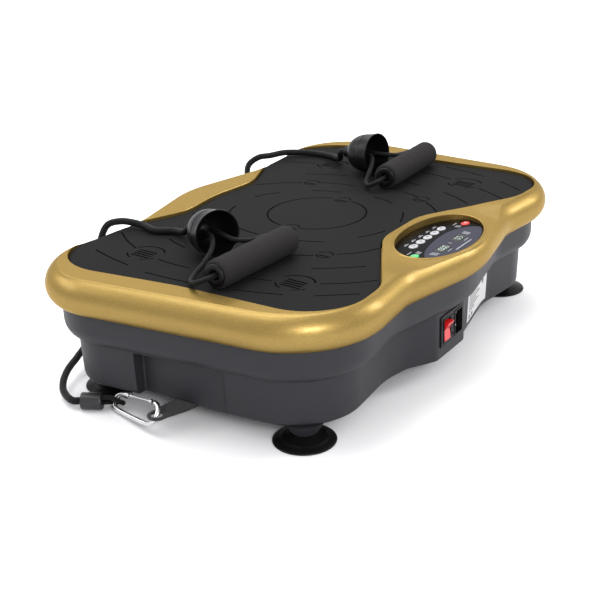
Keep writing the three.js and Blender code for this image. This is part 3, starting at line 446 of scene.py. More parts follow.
bell = [(4.4, 0.0), (5.9, 0.0), (6.5, 0.6), (6.7, 3.0), (6.7, 7.4), (7.4, 8.8), (9.6, 10.0), (12.6, 11.4),
        (15.4, 13.5), (17.7, 16.2), (19.5, 19.4), (20.9, 23.2), (21.8, 27.4), (22.3, 31.4), (22.4, 32.2),
        (22.0, 32.6), (22.0, 33.4), (22.5, 33.8), (22.7, 36.5), (23.0, 40.5), (23.4, 43.6), (24.0, 45.2),
        (23.9, 45.9), (23.3, 46.0), (22.6, 45.6), (22.1, 43.6), (21.6, 40.0), (21.0, 34.0), (20.4, 28.0),
        (18.9, 22.6), (16.5, 18.2), (13.2, 15.0), (9.5, 13.2), (5.6, 12.4), (4.4, 12.0)]
for word, cup in cups.items():
    body = crisp(turned(f"cup_{word}", bell, cup["neck"], cup["facing"], softBlack, 96))
    piece(body, "handle_" + word, "black_satin", f"handle_cup_{word}")
    knot = [(0.01, 12.6), (5.0, 12.8), (8.2, 14.6), (9.4, 18.0), (8.6, 21.6), (5.4, 23.8), (0.01, 24.4)]
    knot_piece = crisp(turned(f"cup_knot_{word}", knot, cup["neck"], cup["facing"], bandSleeve, 40), 60)
    piece(knot_piece, "handle_" + word, "band_rubber")


# ---- Hand loops and grips -----------------------------------------------------------------
# A 5 mm knitted cord runs from the cup through a plastic tube and back. The tube has a rolled
# ring at each end, and a thick sleeve of black foam is pushed over it between the rings.
LOOP = 2.5
GRIP = 14.0
GRIP_LONG = 116.0
GRIP_Z = MAT_TOP + GRIP + GAP
foamBlack, foam_shader = shade("grip_foam", (0.014, 0.0128, 0.0134), 0.85, Specular_IOR_Level=0.04,
                               Sheen_Weight=0.02)
worn(foamBlack, foam_shader, (0.031, 0.029, 0.029), 0.74, 26.0, 0.14)
foam_tree = foamBlack.node_tree
foam_cells = node(foam_tree, "TexVoronoi", Scale=1500.0)
foam_lumps = node(foam_tree, "TexNoise", Scale=160.0, Detail=5.0)
on_object(foam_tree, foam_cells, foam_lumps)
foam_height = maths(foam_tree, "ADD", foam_cells.outputs["Distance"], foam_lumps.outputs[0])
bumped(foamBlack, foam_shader, foam_height, 0.00016)

strands = {
    "left": {
        "from": (-226, -32.3, GRIP_Z), "to": (-110.5, -36.4, GRIP_Z),
        "near": [(-180, 5, 155), (-199, 1, 147), (-216, -1, 142), (-231, -9, 142), (-238, -21, 146)],
        "far": [(-100, -31, 150), (-99.5, -19, 148.5), (-113, -10.5, 149.5), (-136, -8, 152),
                (-153, 0, 157)],
    },
    "right": {
        "from": (109.5, -17.6, GRIP_Z), "to": (225.4, -11.4, GRIP_Z),
        "near": [(142, 17, 156), (122, 10, 148), (106, 4, 142.5), (96, -7, 144), (98, -16, 149)],
        "far": [(236, -8, 150), (238, 4, 148.5), (224, 12, 149), (200, 11, 152), (176, 10, 157)],
    },
}
for word, strand in strands.items():
    first, last = Vector(strand["from"]), Vector(strand["to"])
    along = (last - first).normalized()
    middle = first.lerp(last, 0.5)
    begin = middle - along * GRIP_LONG / 2
    ring = [(4.8, 0.5), (5.6, 0.0), (9.9, 0.0), (10.8, 0.5), (11.0, 1.2), (10.6, 1.9), (7.0, 2.1),
            (6.4, 2.6)]
    ring += [(radius, GRIP_LONG - at) for radius, at in reversed(ring)]
    core = crisp(turned(f"grip_tube_{word}", ring, begin, along, softBlack, 64), 50)
    piece(core, "handle_" + word, "black_satin", f"handle_tube_{word}")
    rim = [(6.7, 2.3), (11.4, 2.2), (12.8, 2.5), (13.6, 3.3), (GRIP, 4.8)]
    foam = rim + [(GRIP + 0.1 * math.sin(t * 1.7), 4.8 + t * (GRIP_LONG - 9.6) / 24) for t in range(1, 24)]
    foam += [(radius, GRIP_LONG - at) for radius, at in reversed(rim)]
    soft = crisp(turned(f"grip_{word}", foam, begin, along, foamBlack, 72), 60)
    piece(soft, "handle_" + word, "foam", f"handle_grip_{word}")

    mouth, out = cups[word]["mouth"], cups[word]["facing"]
    tied = mouth - out * 24
    through = [begin - along * 3, begin + along * 20, middle, begin + along * (GRIP_LONG - 20),
               begin + along * (GRIP_LONG + 3)]
    line = flowing([tied + Vector((-5, 0, 0)), mouth - out * 6 + Vector((-6, 0, -1)),
                    *strand["near"], *through, *strand["far"],
                    mouth - out * 6 + Vector((6, 0, -1)), tied + Vector((5, 0, 0))])
    loop = tube(f"hand_loop_{word}", line, LOOP, loopSleeve, 18)
    piece(loop, "handle_" + word, "band_rubber", f"handle_loop_{word}")


# ---- Anchor tabs --------------------------------------------------------------------------
# A strip of black webbing is screwed under each end of the tub, and its free end is folded
# round a punched eye. It lies flat just under the tub and reaches past the end wall.
TUB_Z, TAB_HALF = 21.0, 1.25
EYE = Vector((-272, 9, TUB_Z - GAP - TAB_HALF))
webbing, web_shader = shade("tab_webbing", (0.014, 0.014, 0.015), 0.6, Sheen_Weight=0.2, Sheen_Roughness=0.5)
worn(webbing, web_shader, (0.014, 0.014, 0.015), 0.6, 40.0, 0.15)
web_tree = webbing.node_tree
web_split = node(web_tree, "SeparateXYZ")
on_object(web_tree, web_split)
YARNS = 4200.0
warp, weft = (
    maths(web_tree, "SINE", maths(web_tree, "MULTIPLY", web_split.outputs[i], YARNS)) for i in (0, 1))
web_height = maths(web_tree, "ADD", warp, weft)
bumped(webbing, web_shader, web_height, 0.0001)


def flat_strip(name, outline, hole, z0, z1, material, place):
    """a plate from an outline and a round hole, moved to its place"""
    bm = bmesh.new()
    rings = [[bm.verts.new((x / 1000, y / 1000, z0 / 1000)) for x, y in loop] for loop in (outline, hole)]
    edges = [bm.edges.new((r[i], r[(i + 1) % len(r)])) for r in rings for i in range(len(r))]
    filled = bmesh.ops.triangle_fill(bm, use_beauty=True, edges=edges)
    faces = [g for g in filled["geom"] if isinstance(g, bmesh.types.BMFace)]
    raised = bmesh.ops.extrude_face_region(bm, geom=faces)
    bmesh.ops.translate(bm, vec=(0, 0, (z1 - z0) / 1000),
                        verts=[g for g in raised["geom"] if isinstance(g, bmesh.types.BMVert)])
    bm.transform(place)
    mesh = bpy.data.meshes.new(name)
    bm.to_mesh(mesh)
    bm.free()
    mesh.materials.append(material)
    return crisp(placed(name, mesh))


def circle(x, y, radius, count, start=0.0, sweep=360.0):
    """points on a circle, or on an arc that keeps both its ends"""
    last = count if sweep >= 360 else count - 1
    return [(x + radius * math.cos(math.radians(start + sweep * i / last)),
             y + radius * math.sin(math.radians(start + sweep * i / last))) for i in range(count)]


tabRoot = Vector((-196, -9, EYE.z))
tab_along = EYE - tabRoot
tab_long = tab_along.length
tab_outline = [(0, -12.5), (tab_long - 26, -12.5), (tab_long - 5, -9.2)]
tab_outline += circle(tab_long, 0, 9.2, 17, -90, 180)
tab_outline += [(tab_long - 5, 9.2), (tab_long - 26, 12.5), (0, 12.5)]
tab_turn = Matrix.Rotation(math.atan2(tab_along.y, tab_along.x), 4, "Z")
tab_place = Matrix.Translation(tabRoot / 1000) @ tab_turn
mirror = Matrix.Scale(-1, 4, (1, 0, 0))


def rounded_edges(thing, width):
    """a narrow bevel along the sharp edges"""
    bevel = thing.modifiers.new("rounded_edges", "BEVEL")
    bevel.width = width / 1000
    bevel.segments = 2
    bevel.limit_method = "ANGLE"
    bevel.angle_limit = math.radians(50)


for word, place in (("left", tab_place), ("right", mirror @ tab_place)):
    tab = flat_strip(f"anchor_tab_{word}", tab_outline, circle(tab_long, 0, 5.8, 40)[::-1], -TAB_HALF,
                     TAB_HALF, webbing, place)
    rounded_edges(tab, 0.5)
    piece(tab, "base", "webbing", f"anchor_tab_{word}")


# ---- Snap hooks ---------------------------------------------------------------------------
# A pear-shaped hook of 5 mm zinc-plated wire. Its wide end hangs in the tab's eye, its narrow
# end holds the band, and a sprung wire gate closes the open side against a nose block.
hook_along = Vector((0.247, 0.96, -0.13)).normalized()
hook_across = Vector((0.63, -0.06, 0.775))
hook_across = (hook_across - hook_along * hook_across.dot(hook_along)).normalized()
hook_normal = hook_along.cross(hook_across)
zinc = coated("zinc_plate", (0.66, 0.66, 0.67), 0.24, 60.0, 0.22, (500.0, 0.00004), metal=1.0)


def hook_point(along, across):
    """a point in the hook's own plane, from the eye"""
    return EYE + hook_along * along + hook_across * across


def hook_arc(along, radius, start, end, count):
    """points on a round bend of the hook, degrees from its far end"""
    steps = [math.radians(start + (end - start) * i / count) for i in range(count + 1)]
    return [hook_point(along + radius * math.cos(t), radius * math.sin(t)) for t in steps]


wire = [hook_point(51.5, 8.5), *hook_arc(62.5, 7.5, 82, -82, 6), *hook_arc(10.5, 10.5, -85, -268, 8)]
gate = [hook_point(13.9, 10.5), hook_point(48.5, 8.8)]


def both_sides(name, body, finish, stood_for, make):
    """one piece at the left end and its mirror image at the right"""
    left = make(name + "_left")
    right = left.copy()
    right.data = left.data.copy()
    right.name = name + "_right"
    right.data.transform(mirror)
    right.data.flip_normals()
    bpy.context.scene.collection.objects.link(right)
    for thing, word in ((left, "left"), (right, "right")):
        at = f"{body}_{word}" if body.startswith("gate") else body
        piece(thing, at, finish, *([f"{stood_for}_{word}"] if stood_for else []))
    return left, right


both_sides("snap_hook", "base", "zinc", "snap_hook",
           lambda name: tube(name, flowing(wire, 1.2), 2.5, zinc, 20))


def merged(name, parts, degrees=35):
    """several parts as one object; each keeps its own material"""
    mesh = bpy.data.meshes.new(name)
    bm = bmesh.new()
    for part in parts:
        paint, start = part.data.materials[0], len(bm.faces)
        if paint.name not in mesh.materials:
            mesh.materials.append(paint)
        bm.from_mesh(part.data)
        bm.faces.ensure_lookup_table()
        for face in bm.faces[start:]:
            face.material_index = mesh.materials.find(paint.name)
        bpy.data.objects.remove(part)
    bm.to_mesh(mesh)
    bm.free()
    return crisp(placed(name, mesh), degrees)


def gate_wires(name):
    """two thin wires with a foot that pivots and a tip that meets the nose"""
    made = [tube("gate_wire", [end + hook_normal * s for end in gate], 0.75, zinc, 12) for s in (-1.1, 1.1)]
    made.append(tube("gate_foot", [gate[0] - hook_along * 0.4, gate[0] + hook_along * 3.6], 2.2, zinc, 20))
    made.append(tube("gate_tip", [gate[1] - hook_along * 3.4, gate[1] + hook_along * 0.2], 2.1, zinc, 20))
    return merged(name, made)


both_sides("hook_gate", "gate", "zinc", "hook_gate", gate_wires)
both_sides("hook_nose", "base", "zinc", None,
           lambda name: crisp(tube(name, [hook_point(50.0, 8.6), hook_point(56.5, 8.3)], 3.3, zinc, 20)))


# ---- Band ends ----------------------------------------------------------------------------
# The band is doubled round the narrow end of its hook and both strands are held in a short
# rubber sleeve. The sleeve is shrunk on, so it has soft rims.
sleeveRubber = coated("sleeve_rubber", (0.022, 0.022, 0.024), 0.36, 40.0, 0.2, (700.0, 0.00006),
                      Coat_Weight=0.1)


def band_end(name):
    """the sleeve, the doubled strand round the hook and the fill between them"""
    axis = (sleeveEnd - sleeveStart).normalized()
    long = (sleeveEnd - sleeveStart).length
    rims = [(4.2, 0.0), (7.6, 0.0), (8.4, 0.5), (8.6, 1.6), (8.5, long / 2), (8.6, long - 1.6),
            (8.4, long - 0.5), (7.6, long), (4.2, long)]
    sleeve = turned("sleeve", rims, sleeveStart, axis, sleeveRubber, 48)
    back = sleeveEnd.lerp(sleeveStart, 0.4)
    nose, inside = hook_point(71, 0), hook_point(62.3, 0)
    held = flowing([back + hook_normal * 4.0, nose + hook_normal * 6.8, inside + hook_normal * 4,
                    inside - hook_normal * 4, nose - hook_normal * 6.8, back - hook_normal * 4.0], 1.2)
    strand = tube("held_strand", held, 2.4, bandSleeve, 16)
    plug = tube("sleeve_fill", [sleeveStart + axis * 1.2, sleeveEnd - axis * 1.2], 4.4, sleeveRubber, 24)
    return merged(name, (sleeve, strand, plug), 50)


ends = dict(zip(("left", "right"), both_sides("band_end", "base", "band_rubber", "band_end", band_end)))


# ---- Top cover ----------------------------------------------------------------------------
# A moulded cover with six lobes, a rolled side and a recess for the mat, sprayed with satin
# gold metallic paint. It hangs over the tub and is screwed to the deck plate from below.
def rounded(corners, step=3.0):
    """an outline with tangent arcs at its corners: rows of x, y and the outward normal"""
    rows = []
    for i, (x, y, radius) in enumerate(corners):
        before = (Vector((x, y)) - Vector(corners[i - 1][:2])).normalized()
        after = (Vector(corners[(i + 1) % len(corners)][:2]) - Vector((x, y))).normalized()
        bend = math.atan2(before.x * after.y - before.y * after.x, before.dot(after))
        side = math.copysign(1, bend)
        centre = Vector((x, y)) - before * radius * math.tan(abs(bend) / 2)
        centre += Vector((-before.y, before.x)) * side * radius
        start = math.atan2(before.y, before.x) - math.pi / 2
        count = max(2, round(math.degrees(abs(bend)) / step))
        for k in range(count + 1):
            angle = start + bend * k / count
            nx, ny = math.cos(angle), math.sin(angle)
            rows.append((centre.x + side * radius * nx, centre.y + side * radius * ny, nx, ny))
    return rows


def mirrored(half):
    """the corners of one half and their mirror images"""
    return half + [(-x, y, r) for x, y, r in reversed(half) if x > 0]


def oval(a, b, x, y, count):
    """an ellipse as rows of x, y and the outward normal"""
    rows = []
    for i in range(count):
        t = 2 * math.pi * i / count
        out = Vector((math.cos(t) / a, math.sin(t) / b)).normalized()
        rows.append((x + a * math.cos(t), y + b * math.sin(t), out.x, out.y))
    return rows


def loft(name, outline, profile, material=None):
    """a closed body through rings of (offset, height) round an outline"""
    count = len(outline)
    points = [(x + nx * o, y + ny * o, z) for o, z in profile for x, y, nx, ny in outline]
    faces = lattice(len(profile), count)
    faces.append(tuple(reversed(range(count))))
    faces.append(tuple(range((len(profile) - 1) * count, len(profile) * count)))
    return build(name, points, faces, material)


def shaped(body, operation, *tools):
    """joins or cuts bodies, and keeps the result as a plain mesh"""
    for tool in tools:
        step = body.modifiers.new("step", "BOOLEAN")
        step.operation = operation
        step.solver = "EXACT"
        step.use_self = len(tool.data.materials) > 1
        step.object = tool
        bpy.context.view_layer.update()
        result = bpy.data.meshes.new_from_object(body.evaluated_get(bpy.context.evaluated_depsgraph_get()))
        body.modifiers.clear()
        body.data = result
    for tool in tools:
        bpy.data.objects.remove(tool)
    return body


def evened(thing):
    """lets the large faces decide the shading"""
    thing.modifiers.new("even_shading", "WEIGHTED_NORMAL").keep_sharp = True


END, TAPER = 261.5, 16.0
cover_line = rounded(mirrored([
    (0, -180, 150), (109, -158, 90), (END - TAPER, -172, 80),
    (END + TAPER, 166, 66), (109, 150, 90), (0, 175, 120),
]))
FACE_TOP = DECK - 6.3
PANEL_Y, PANEL_A, PANEL_B, PANEL_STRIP = -143, 67.5, 35.7, 6.5
LIP, PANEL_FALL, FALL_FADE, FALL_REACH = 1.9, 5.8, 50, 125.5
RECESS = DECK - 7.3
COVER_DEPTH, BULGE, FOOT_OUT = 35.3, 13.0, 4.5


def rolled_side(wall, steps):
    """the cover's bulging side, from its foot to its top, moved in by a wall"""
    half = COVER_DEPTH / 2
    sagitta = BULGE - FOOT_OUT / 2
    radius = (half * half + sagitta * sagitta) / (2 * sagitta)
    spread = math.asin(half / radius)
    rows = []
    for i in range(steps + 1):
        t = i / steps
        angle = -spread + 2 * spread * t
        across = radius * math.cos(angle) - (radius - sagitta) + FOOT_OUT * (1 - t)
        rows.append((across - wall * math.cos(angle),
                     DECK - COVER_DEPTH + half + (radius - wall) * math.sin(angle)))
    return rows


# metallic paint: fine flakes that catch the light, under a clear coat
flake, flake_in, flake_out = effect_group(
    "metallic flake", {"Scale": 1400.0, "Color": (0.5, 0.4, 0.2, 1.0), "Deep": (0.3, 0.2, 0.1, 1.0)},
    {"Color": "NodeSocketColor", "Height": "NodeSocketFloat"})
flake_cells = node(flake, "TexVoronoi")
flake_blend = node(flake, "MixRGB", blend_type="MIX")
flake_split = node(flake, "SeparateXYZ")
on_object(flake, flake_cells)
flake_share = maths(flake, "MULTIPLY", flake_split.outputs[0], 0.55)
chain(flake, (flake_in.outputs["Scale"], flake_cells.inputs["Scale"]),
      (flake_cells.outputs["Color"], flake_split.inputs[0]), (flake_share, flake_blend.inputs[0]),
      (flake_in.outputs["Color"], flake_blend.inputs[1]), (flake_in.outputs["Deep"], flake_blend.inputs[2]),
      (flake_blend.outputs[0], flake_out.inputs["Color"]),
      (flake_split.outputs[1], flake_out.inputs["Height"]))

gold, gold_shader = shade("gold_paint", (0.5, 0.35, 0.12), 0.4, 0.8, Coat_Weight=0.12, Coat_Roughness=0.14,
                          Specular_Tint=(0.8, 0.64, 0.4, 1.0))
gold_tree = gold.node_tree
gold_flake = grouped(gold_tree, flake, Color=(0.33, 0.236, 0.083, 1.0), Deep=(0.228, 0.152, 0.046, 1.0))
gold_wear = worn(gold, gold_shader, (0.5, 0.35, 0.12), 0.38, 9.0, 0.06)
chain(gold_tree, (gold_flake.outputs["Color"], gold_wear.inputs["Color"]))
bumped(gold, gold_shader, gold_flake.outputs["Height"], 0.00004)

side_rows = rolled_side(0, 22)
crease = side_rows[-1][0]
cover = loft("gold_cover", cover_line, [
    *side_rows[:-1], (crease + 0.5, DECK - 0.75), (crease - 0.35, DECK - 0.15), (crease - 1.3, DECK)], gold)


def top_at(x, y):
    """the height of the cover's top, which falls away round the panel towards the front"""
    t = min(1.0, max(0.0, (FALL_REACH - abs(x)) / FALL_FADE))
    along = max(0.0, (PANEL_Y + PANEL_B - y) / (2 * PANEL_B + 3))
    beyond = max(0.0, PANEL_Y - PANEL_B - 3.3 - y)
    return DECK - t * t * (3 - 2 * t) * (PANEL_FALL * along ** 1.3 + 0.06 * beyond ** 2)


def above_fall(columns, rows):
    """the body that is cut away above the falling part of the top"""
    far, near = PANEL_Y + PANEL_B + 1, PANEL_Y - PANEL_B - 23
    points = []
    for level in (0, 1):
        for j in range(rows + 1):
            for i in range(columns + 1):
                x, y = -FALL_REACH + 2 * FALL_REACH * i / columns, near + (far - near) * j / rows
                points.append((x, y, DECK + 12 if level else top_at(x, y) + 0.1))
    wide, deep = columns + 1, (columns + 1) * (rows + 1)
    faces = []
    for j in range(rows):
        for i in range(columns):
            a = j * wide + i
            faces.append((a, a + wide, a + wide + 1, a + 1))
            faces.append((deep + a, deep + a + 1, deep + a + wide + 1, deep + a + wide))
    edge = list(range(wide)) + [j * wide + columns for j in range(1, rows + 1)]
    edge += [rows * wide + i for i in range(columns - 1, -1, -1)]
    edge += [j * wide for j in range(rows - 1, 0, -1)]
    faces += [(a, b, deep + b, deep + a) for a, b in zip(edge, edge[1:] + edge[:1])]
    return build("above", points, faces, None)


def panel_lip(sides):
    """the rounded lip follows the falling top round the well"""
    line = oval(PANEL_A + LIP - 0.4, PANEL_B + LIP - 0.4, 0, PANEL_Y, 144)
    points = []
    for x, y, nx, ny in line:
        for k in range(sides):
            t = 2 * math.pi * k / sides
            out = LIP * math.cos(t)
            points.append((x + nx * out, y + ny * out, top_at(x, y) - 1.1 + LIP * math.sin(t)))
    return build("lip", points, [face[::-1] for face in lattice(len(line), sides, True)], None)


shaped(cover, "DIFFERENCE", above_fall(100, 46))
shaped(cover, "UNION", panel_lip(16))
inner_rows = [row for row in rolled_side(2.5, 12) if DECK - COVER_DEPTH + 1 < row[1] < RECESS - 5.3]
mat_line = rounded(mirrored([
    (37.8, PANEL_Y + PANEL_B + PANEL_STRIP + 3.8, 60), (149.85, -160, 60), (236.5, -164, 55),
    (236.5, 0, 250), (253.5, 166, 60), (130, 158, 60), (62, 129, 60), (0, 136, 150),
]), 4.0)
shaped(
    cover, "DIFFERENCE",
    loft("hollow", cover_line, [(2.0, DECK - COVER_DEPTH - 1), *inner_rows,
                                (inner_rows[-1][0] - 2, RECESS - 3.3)]),
    loft("recess", mat_line, [(1.2, RECESS), (1.2, DECK - 0.7), (1.5, DECK - 0.2), (2.3, DECK + 0.05),
                              (2.4, DECK + 6)]),
    loft("well", oval(PANEL_A, PANEL_B, 0, PANEL_Y, 120), [(GAP, FACE_TOP - 2.7), (GAP, DECK + 6)]),
    loft("opening", oval(PANEL_A - 3.5, PANEL_B - 3.5, 0, PANEL_Y, 96), [(0, RECESS - 8), (0, DECK)]),
)
crisp(cover, 24)
evened(cover)
piece(cover, "platform", "gold_cover", "top_cover")


# ---- Mat ----------------------------------------------------------------------------------
# A 4 mm mat of black rubber laid in the cover's recess. Its top is moulded with round, curved
# and straight grooves about 1.5 mm wide, and with pads of short bars for the balls of the feet.
matRubber, mat_shader = shade("mat_rubber", (0.021, 0.021, 0.0212), 0.62, Specular_IOR_Level=0.025)
worn(matRubber, mat_shader, (0.021, 0.021, 0.0212), 0.6, 7.0, 0.14)
mat_tree = matRubber.node_tree
mat_pebble = node(mat_tree, "TexVoronoi", Scale=900.0, feature="SMOOTH_F1")
mat_cloth = node(mat_tree, "TexNoise", Scale=420.0, Detail=4.0)
on_object(mat_tree, mat_pebble, mat_cloth)
mat_height = maths(mat_tree, "ADD", mat_pebble.outputs["Distance"], mat_cloth.outputs[0])
bumped(matRubber, mat_shader, mat_height, 0.00012)
# near-black painted shade for the floors and lower walls of the grooves
groovePaintedShade = coated("mat_groove_painted_shade", (0.0015, 0.0015, 0.0015), 0.8, 12.0, 0.1, Specular_IOR_Level=0.1)


def arc_of(x, y, radius, start, end, squash_y=1.0):
    """points about six degrees apart on an arc"""
    count = max(6, round(abs(end - start) / 6))
    turns = [math.radians(start + (end - start) * i / count) for i in range(count + 1)]
    return [(x + radius * math.cos(t), y + radius * squash_y * math.sin(t)) for t in turns]


def soft_line(*points):
    """a smooth line through a few points"""
    return [(p.x, p.y) for p in flowing([(x, y, 0) for x, y in points], 5.0)]


strokes = []


def groove(line, width):
    """adds a groove along a line"""
    strokes.append((line, width / 2))


# middle circle with a small ring on each side of it, then the rings of curved grooves
groove(arc_of(5, 6, 53, 14, 166), 1.6)
groove(arc_of(5, 6, 53, 194, 346), 1.6)
for x, y in ((-47, 4), (57, 5), (-100, -70), (99, -70), (96, 71), (-96, 76)):
    groove(arc_of(x, y, 8.2, -70, 75), 1.2)
    groove(arc_of(x, y, 8.2, 110, 250), 1.2)
    groove([(x - 3, y + 5), (x - 3.6, y - 5)], 1.8)
for line in (
    [(-116, -40), (-112, -52), (-107, -61)], [(-93, -80), (-80, -95), (-60, -107)],
    [(113, -38), (110, -50), (104, -62)], [(91, -80), (80, -93), (63, -109)],
    [(108, 18), (106, 40), (101, 62)], [(90, 82), (78, 102), (58, 124)],
    [(-110, 46), (-108, 54), (-103, 66)], [(-90, 86), (-78, 104), (-58, 124)],
    [(-75, 53), (-79, 38), (-82, 22)], [(-78, -24), (-75, -36), (-69, -49)],
    [(82, -20), (78, -36), (71, -49)], [(70, 54), (76, 38), (80, 21)],
    [(-41, -73), (-27, -81), (-12, -87)], [(20, -87), (34, -82), (48, -75)],
    [(-40, 90), (-29, 95), (-17, 98)], [(20, 98), (34, 92), (46, 82)],
    [(-136, 94), (-143, 80), (-149, 64)], [(-137, -79), (-124, -100), (-108, -120)],
    [(132, -81), (122, -101), (109, -120)], [(147, -23), (146, -34), (143, -45)],
    [(123, 95), (132, 72), (139, 49)], [(149, 20), (150, 8), (149, -4)],
    [(-197, 138), (-206, 112), (-214, 82)], [(-221, 54), (-222, 28), (-222, 2)],
    [(-215, -45), (-211, -66), (-204, -91)], [(-192, -118), (-181, -134), (-169, -150)],
    [(224, -37), (218, -64), (209, -93)], [(198, -120), (188, -137), (178, -152)],
    [(193, 141), (204, 117), (213, 90)], [(222, 66), (225, 44), (226, 20)],
    [(-188, 65), (-191, 44), (-192, 24)], [(-174, 106), (-160, 130), (-144, 151)],
    [(-185, -42), (-183, -54), (-181, -63)], [(-166, -107), (-152, -128), (-134, -147)],
    [(191, -22), (188, -44), (182, -64)], [(163, -109), (152, -130), (140, -148)],
    [(155, 149), (161, 128), (166, 112)], [(190, 62), (194, 44), (196, 24)],
):
    groove(soft_line(*line), 1.5)
# foot pads: four short slanted bars inside a broken ring
for x, y in ((-181, 88), (-176, -85), (173, -86), (170, 89)):
    groove(arc_of(x + 2, y, 17, -62, 62, 1.1), 1.6)
    groove(arc_of(x + 1, y, 17, 118, 160, 1.1), 1.4)
    groove(arc_of(x + 1, y, 17, 200, 242, 1.1), 1.4)
    for k in range(4):
        lean = x - 8.5 + 4.6 * k
        groove([(lean + 0.8, y + 10.5), (lean - 0.6, y - 10.5)], 2.0)


def stroke_loops(line, half):
    """the outline of a groove with round ends, at its own half width"""
    points = [Vector(p) for p in line]
    left, right = [], []
    for i, p in enumerate(points):
        ahead = (points[min(i + 1, len(points) - 1)] - points[max(i - 1, 0)]).normalized()
        out = Vector((-ahead.y, ahead.x))
        left.append(p + out * half)
        right.append(p - out * half)
    start = (points[1] - points[0]).normalized()
    stop = (points[-1] - points[-2]).normalized()

    def cap(centre, facing):
        at = math.atan2(facing.y, facing.x)
        spread = (-1.05, -0.52, 0, 0.52, 1.05)
        return [centre + Vector((math.cos(at + t), math.sin(at + t))) * half for t in spread]

    return right + cap(points[-1], stop) + left[::-1] + cap(points[0], -start)


def groove_cutter():
    """one body for each groove, a little wider at the rim, all in one mesh; its floor and lower walls are
    near black, painted shade in the grooves
    """
    points, faces, dark = [], [], []
    for line, half in strokes:
        rings = [(half * 0.6, MAT_TOP - 1.3), (half, MAT_TOP - 0.25), (half + 0.35, MAT_TOP + 0.02),
                 (half + 0.35, MAT_TOP + 2)]
        at, count = len(points), len(stroke_loops(line, half))
        for wide, z in rings:
            points += [(p.x, p.y, z) for p in stroke_loops(line, wide)]
        ends = [tuple(range(count)), tuple(range(3 * count, 4 * count))]
        faces += [tuple(at + i for i in face) for face in lattice(4, count) + ends]
        # 1 marks the lower walls and the floor, which get the near-black painted shade
        dark += [1] * count + [0] * 2 * count + [1, 0]
    cutter = build("grooves", points, faces, matRubber)
    cutter.data.materials.append(groovePaintedShade)
    cutter.data.polygons.foreach_set("material_index", dark)
    return crisp(cutter)


mat = loft("mat_rubber", mat_line, [
    (0.0, RECESS + GAP), (0.0, MAT_TOP - 1.0), (-0.3, MAT_TOP - 0.3), (-1.0, MAT_TOP)], matRubber)
# the grooves' painted shade goes in as the mat's second material
mat.data.materials.append(groovePaintedShade)
shaped(mat, "DIFFERENCE", groove_cutter())
crisp(mat, 18)
piece(mat, "platform", "mat_rubber", "mat")


# ---- Control panel ------------------------------------------------------------------------
# An oval face of gloss black plastic in the front bulge, with a grey printed field, two small
# windows, a remote receiver and seven push buttons. The caps stand on switches underneath.
FACE_FOOT = FACE_TOP - 2.4
CAP_A, CAP_B, WINDOW_LONG, WINDOW_WIDE = 6.25, 4.3, 21.0, 10.5


def block(name, x0, x1, y0, y1, z0, z1, material=None, soft=0.0):
    """a box, with rounded edges when soft is given"""
    points = [(x, y, z) for z in (z0, z1) for x, y in ((x0, y0), (x1, y0), (x1, y1), (x0, y1))]
    faces = [(3, 2, 1, 0), (4, 5, 6, 7), (0, 1, 5, 4), (1, 2, 6, 5), (2, 3, 7, 6), (3, 0, 4, 7)]
    thing = build(name, points, faces, material)
    if soft:
        bm = bmesh.new()
        bm.from_mesh(thing.data)
        bmesh.ops.bevel(bm, geom=bm.edges[:], offset=soft / 1000, segments=3, profile=0.5, affect="EDGES")
        bmesh.ops.recalc_face_normals(bm, faces=bm.faces)
        bm.to_mesh(thing.data)
        bm.free()
        thing.data.polygons.foreach_set("use_smooth", [True] * len(thing.data.polygons))
    return thing


def prisms(name, loops, z0, z1, material):
    """thin closed plates, one from each outline"""
    points, faces = [], []
    for loop in loops:
        n, at = len(loop), len(points)
        points += [(x, y, z0) for x, y in loop] + [(x, y, z1) for x, y in loop]
        faces += [tuple(at + n - 1 - i for i in range(n)), tuple(at + n + i for i in range(n))]
        faces += [(at + i, at + (i + 1) % n, at + n + (i + 1) % n, at + n + i) for i in range(n)]
    return build(name, points, faces, material, smooth=False)


def bar(x, y, length, width):
    """a rectangle round a point"""
    a, b = length / 2, width / 2
    return [(x - a, y - b), (x + a, y - b), (x + a, y + b), (x - a, y + b)]


def soft_rect(x, y, length, width, radius):
    """a rectangle with round corners"""
    return rounded([(*corner, radius) for corner in bar(x, y, length, width)], 18)


faceBlack = coated("face_black", (0.004, 0.004, 0.005), 0.25, 16.0, 0.08, Specular_IOR_Level=0.03)
faceField = coated("printed_field", (0.05, 0.05, 0.068), 0.3, 16.0, 0.08, Specular_IOR_Level=0.03)
faceInk = coated("printed_marks", (0.34, 0.35, 0.38), 0.4, 30.0, 0.08)

mode_places = [((i - 2) * 15.1 - 1, PANEL_Y + 13.2) for i in range(5)]
start_place, stop_place = (-56, PANEL_Y - 1), (56, PANEL_Y - 1)
window_places = {"time_window": (-23, PANEL_Y - 14.5), "speed_window": (13, PANEL_Y - 14.5)}
receiver_place = (-5, PANEL_Y - 14)
field_top = [(x, y + PANEL_Y) for x, y in soft_line((-58, -13), (-37, -3), (-3, 3), (27, 2), (48, -8),
                                                    (55, -18.5))]
field_arc = [math.radians(-37 - 118.5 * i / 50) for i in range(51)]
field = field_top + [(66.2 * math.cos(t), PANEL_Y + 34.4 * math.sin(t)) for t in field_arc[1:-1]]


def slanted(x, y, length, width, lean=0.8):
    """an upright bar whose top leans to the right"""
    shift = (-lean, -lean, lean, lean)
    return [(px + s, py) for (px, py), s in zip(bar(x, y, width, length), shift)]


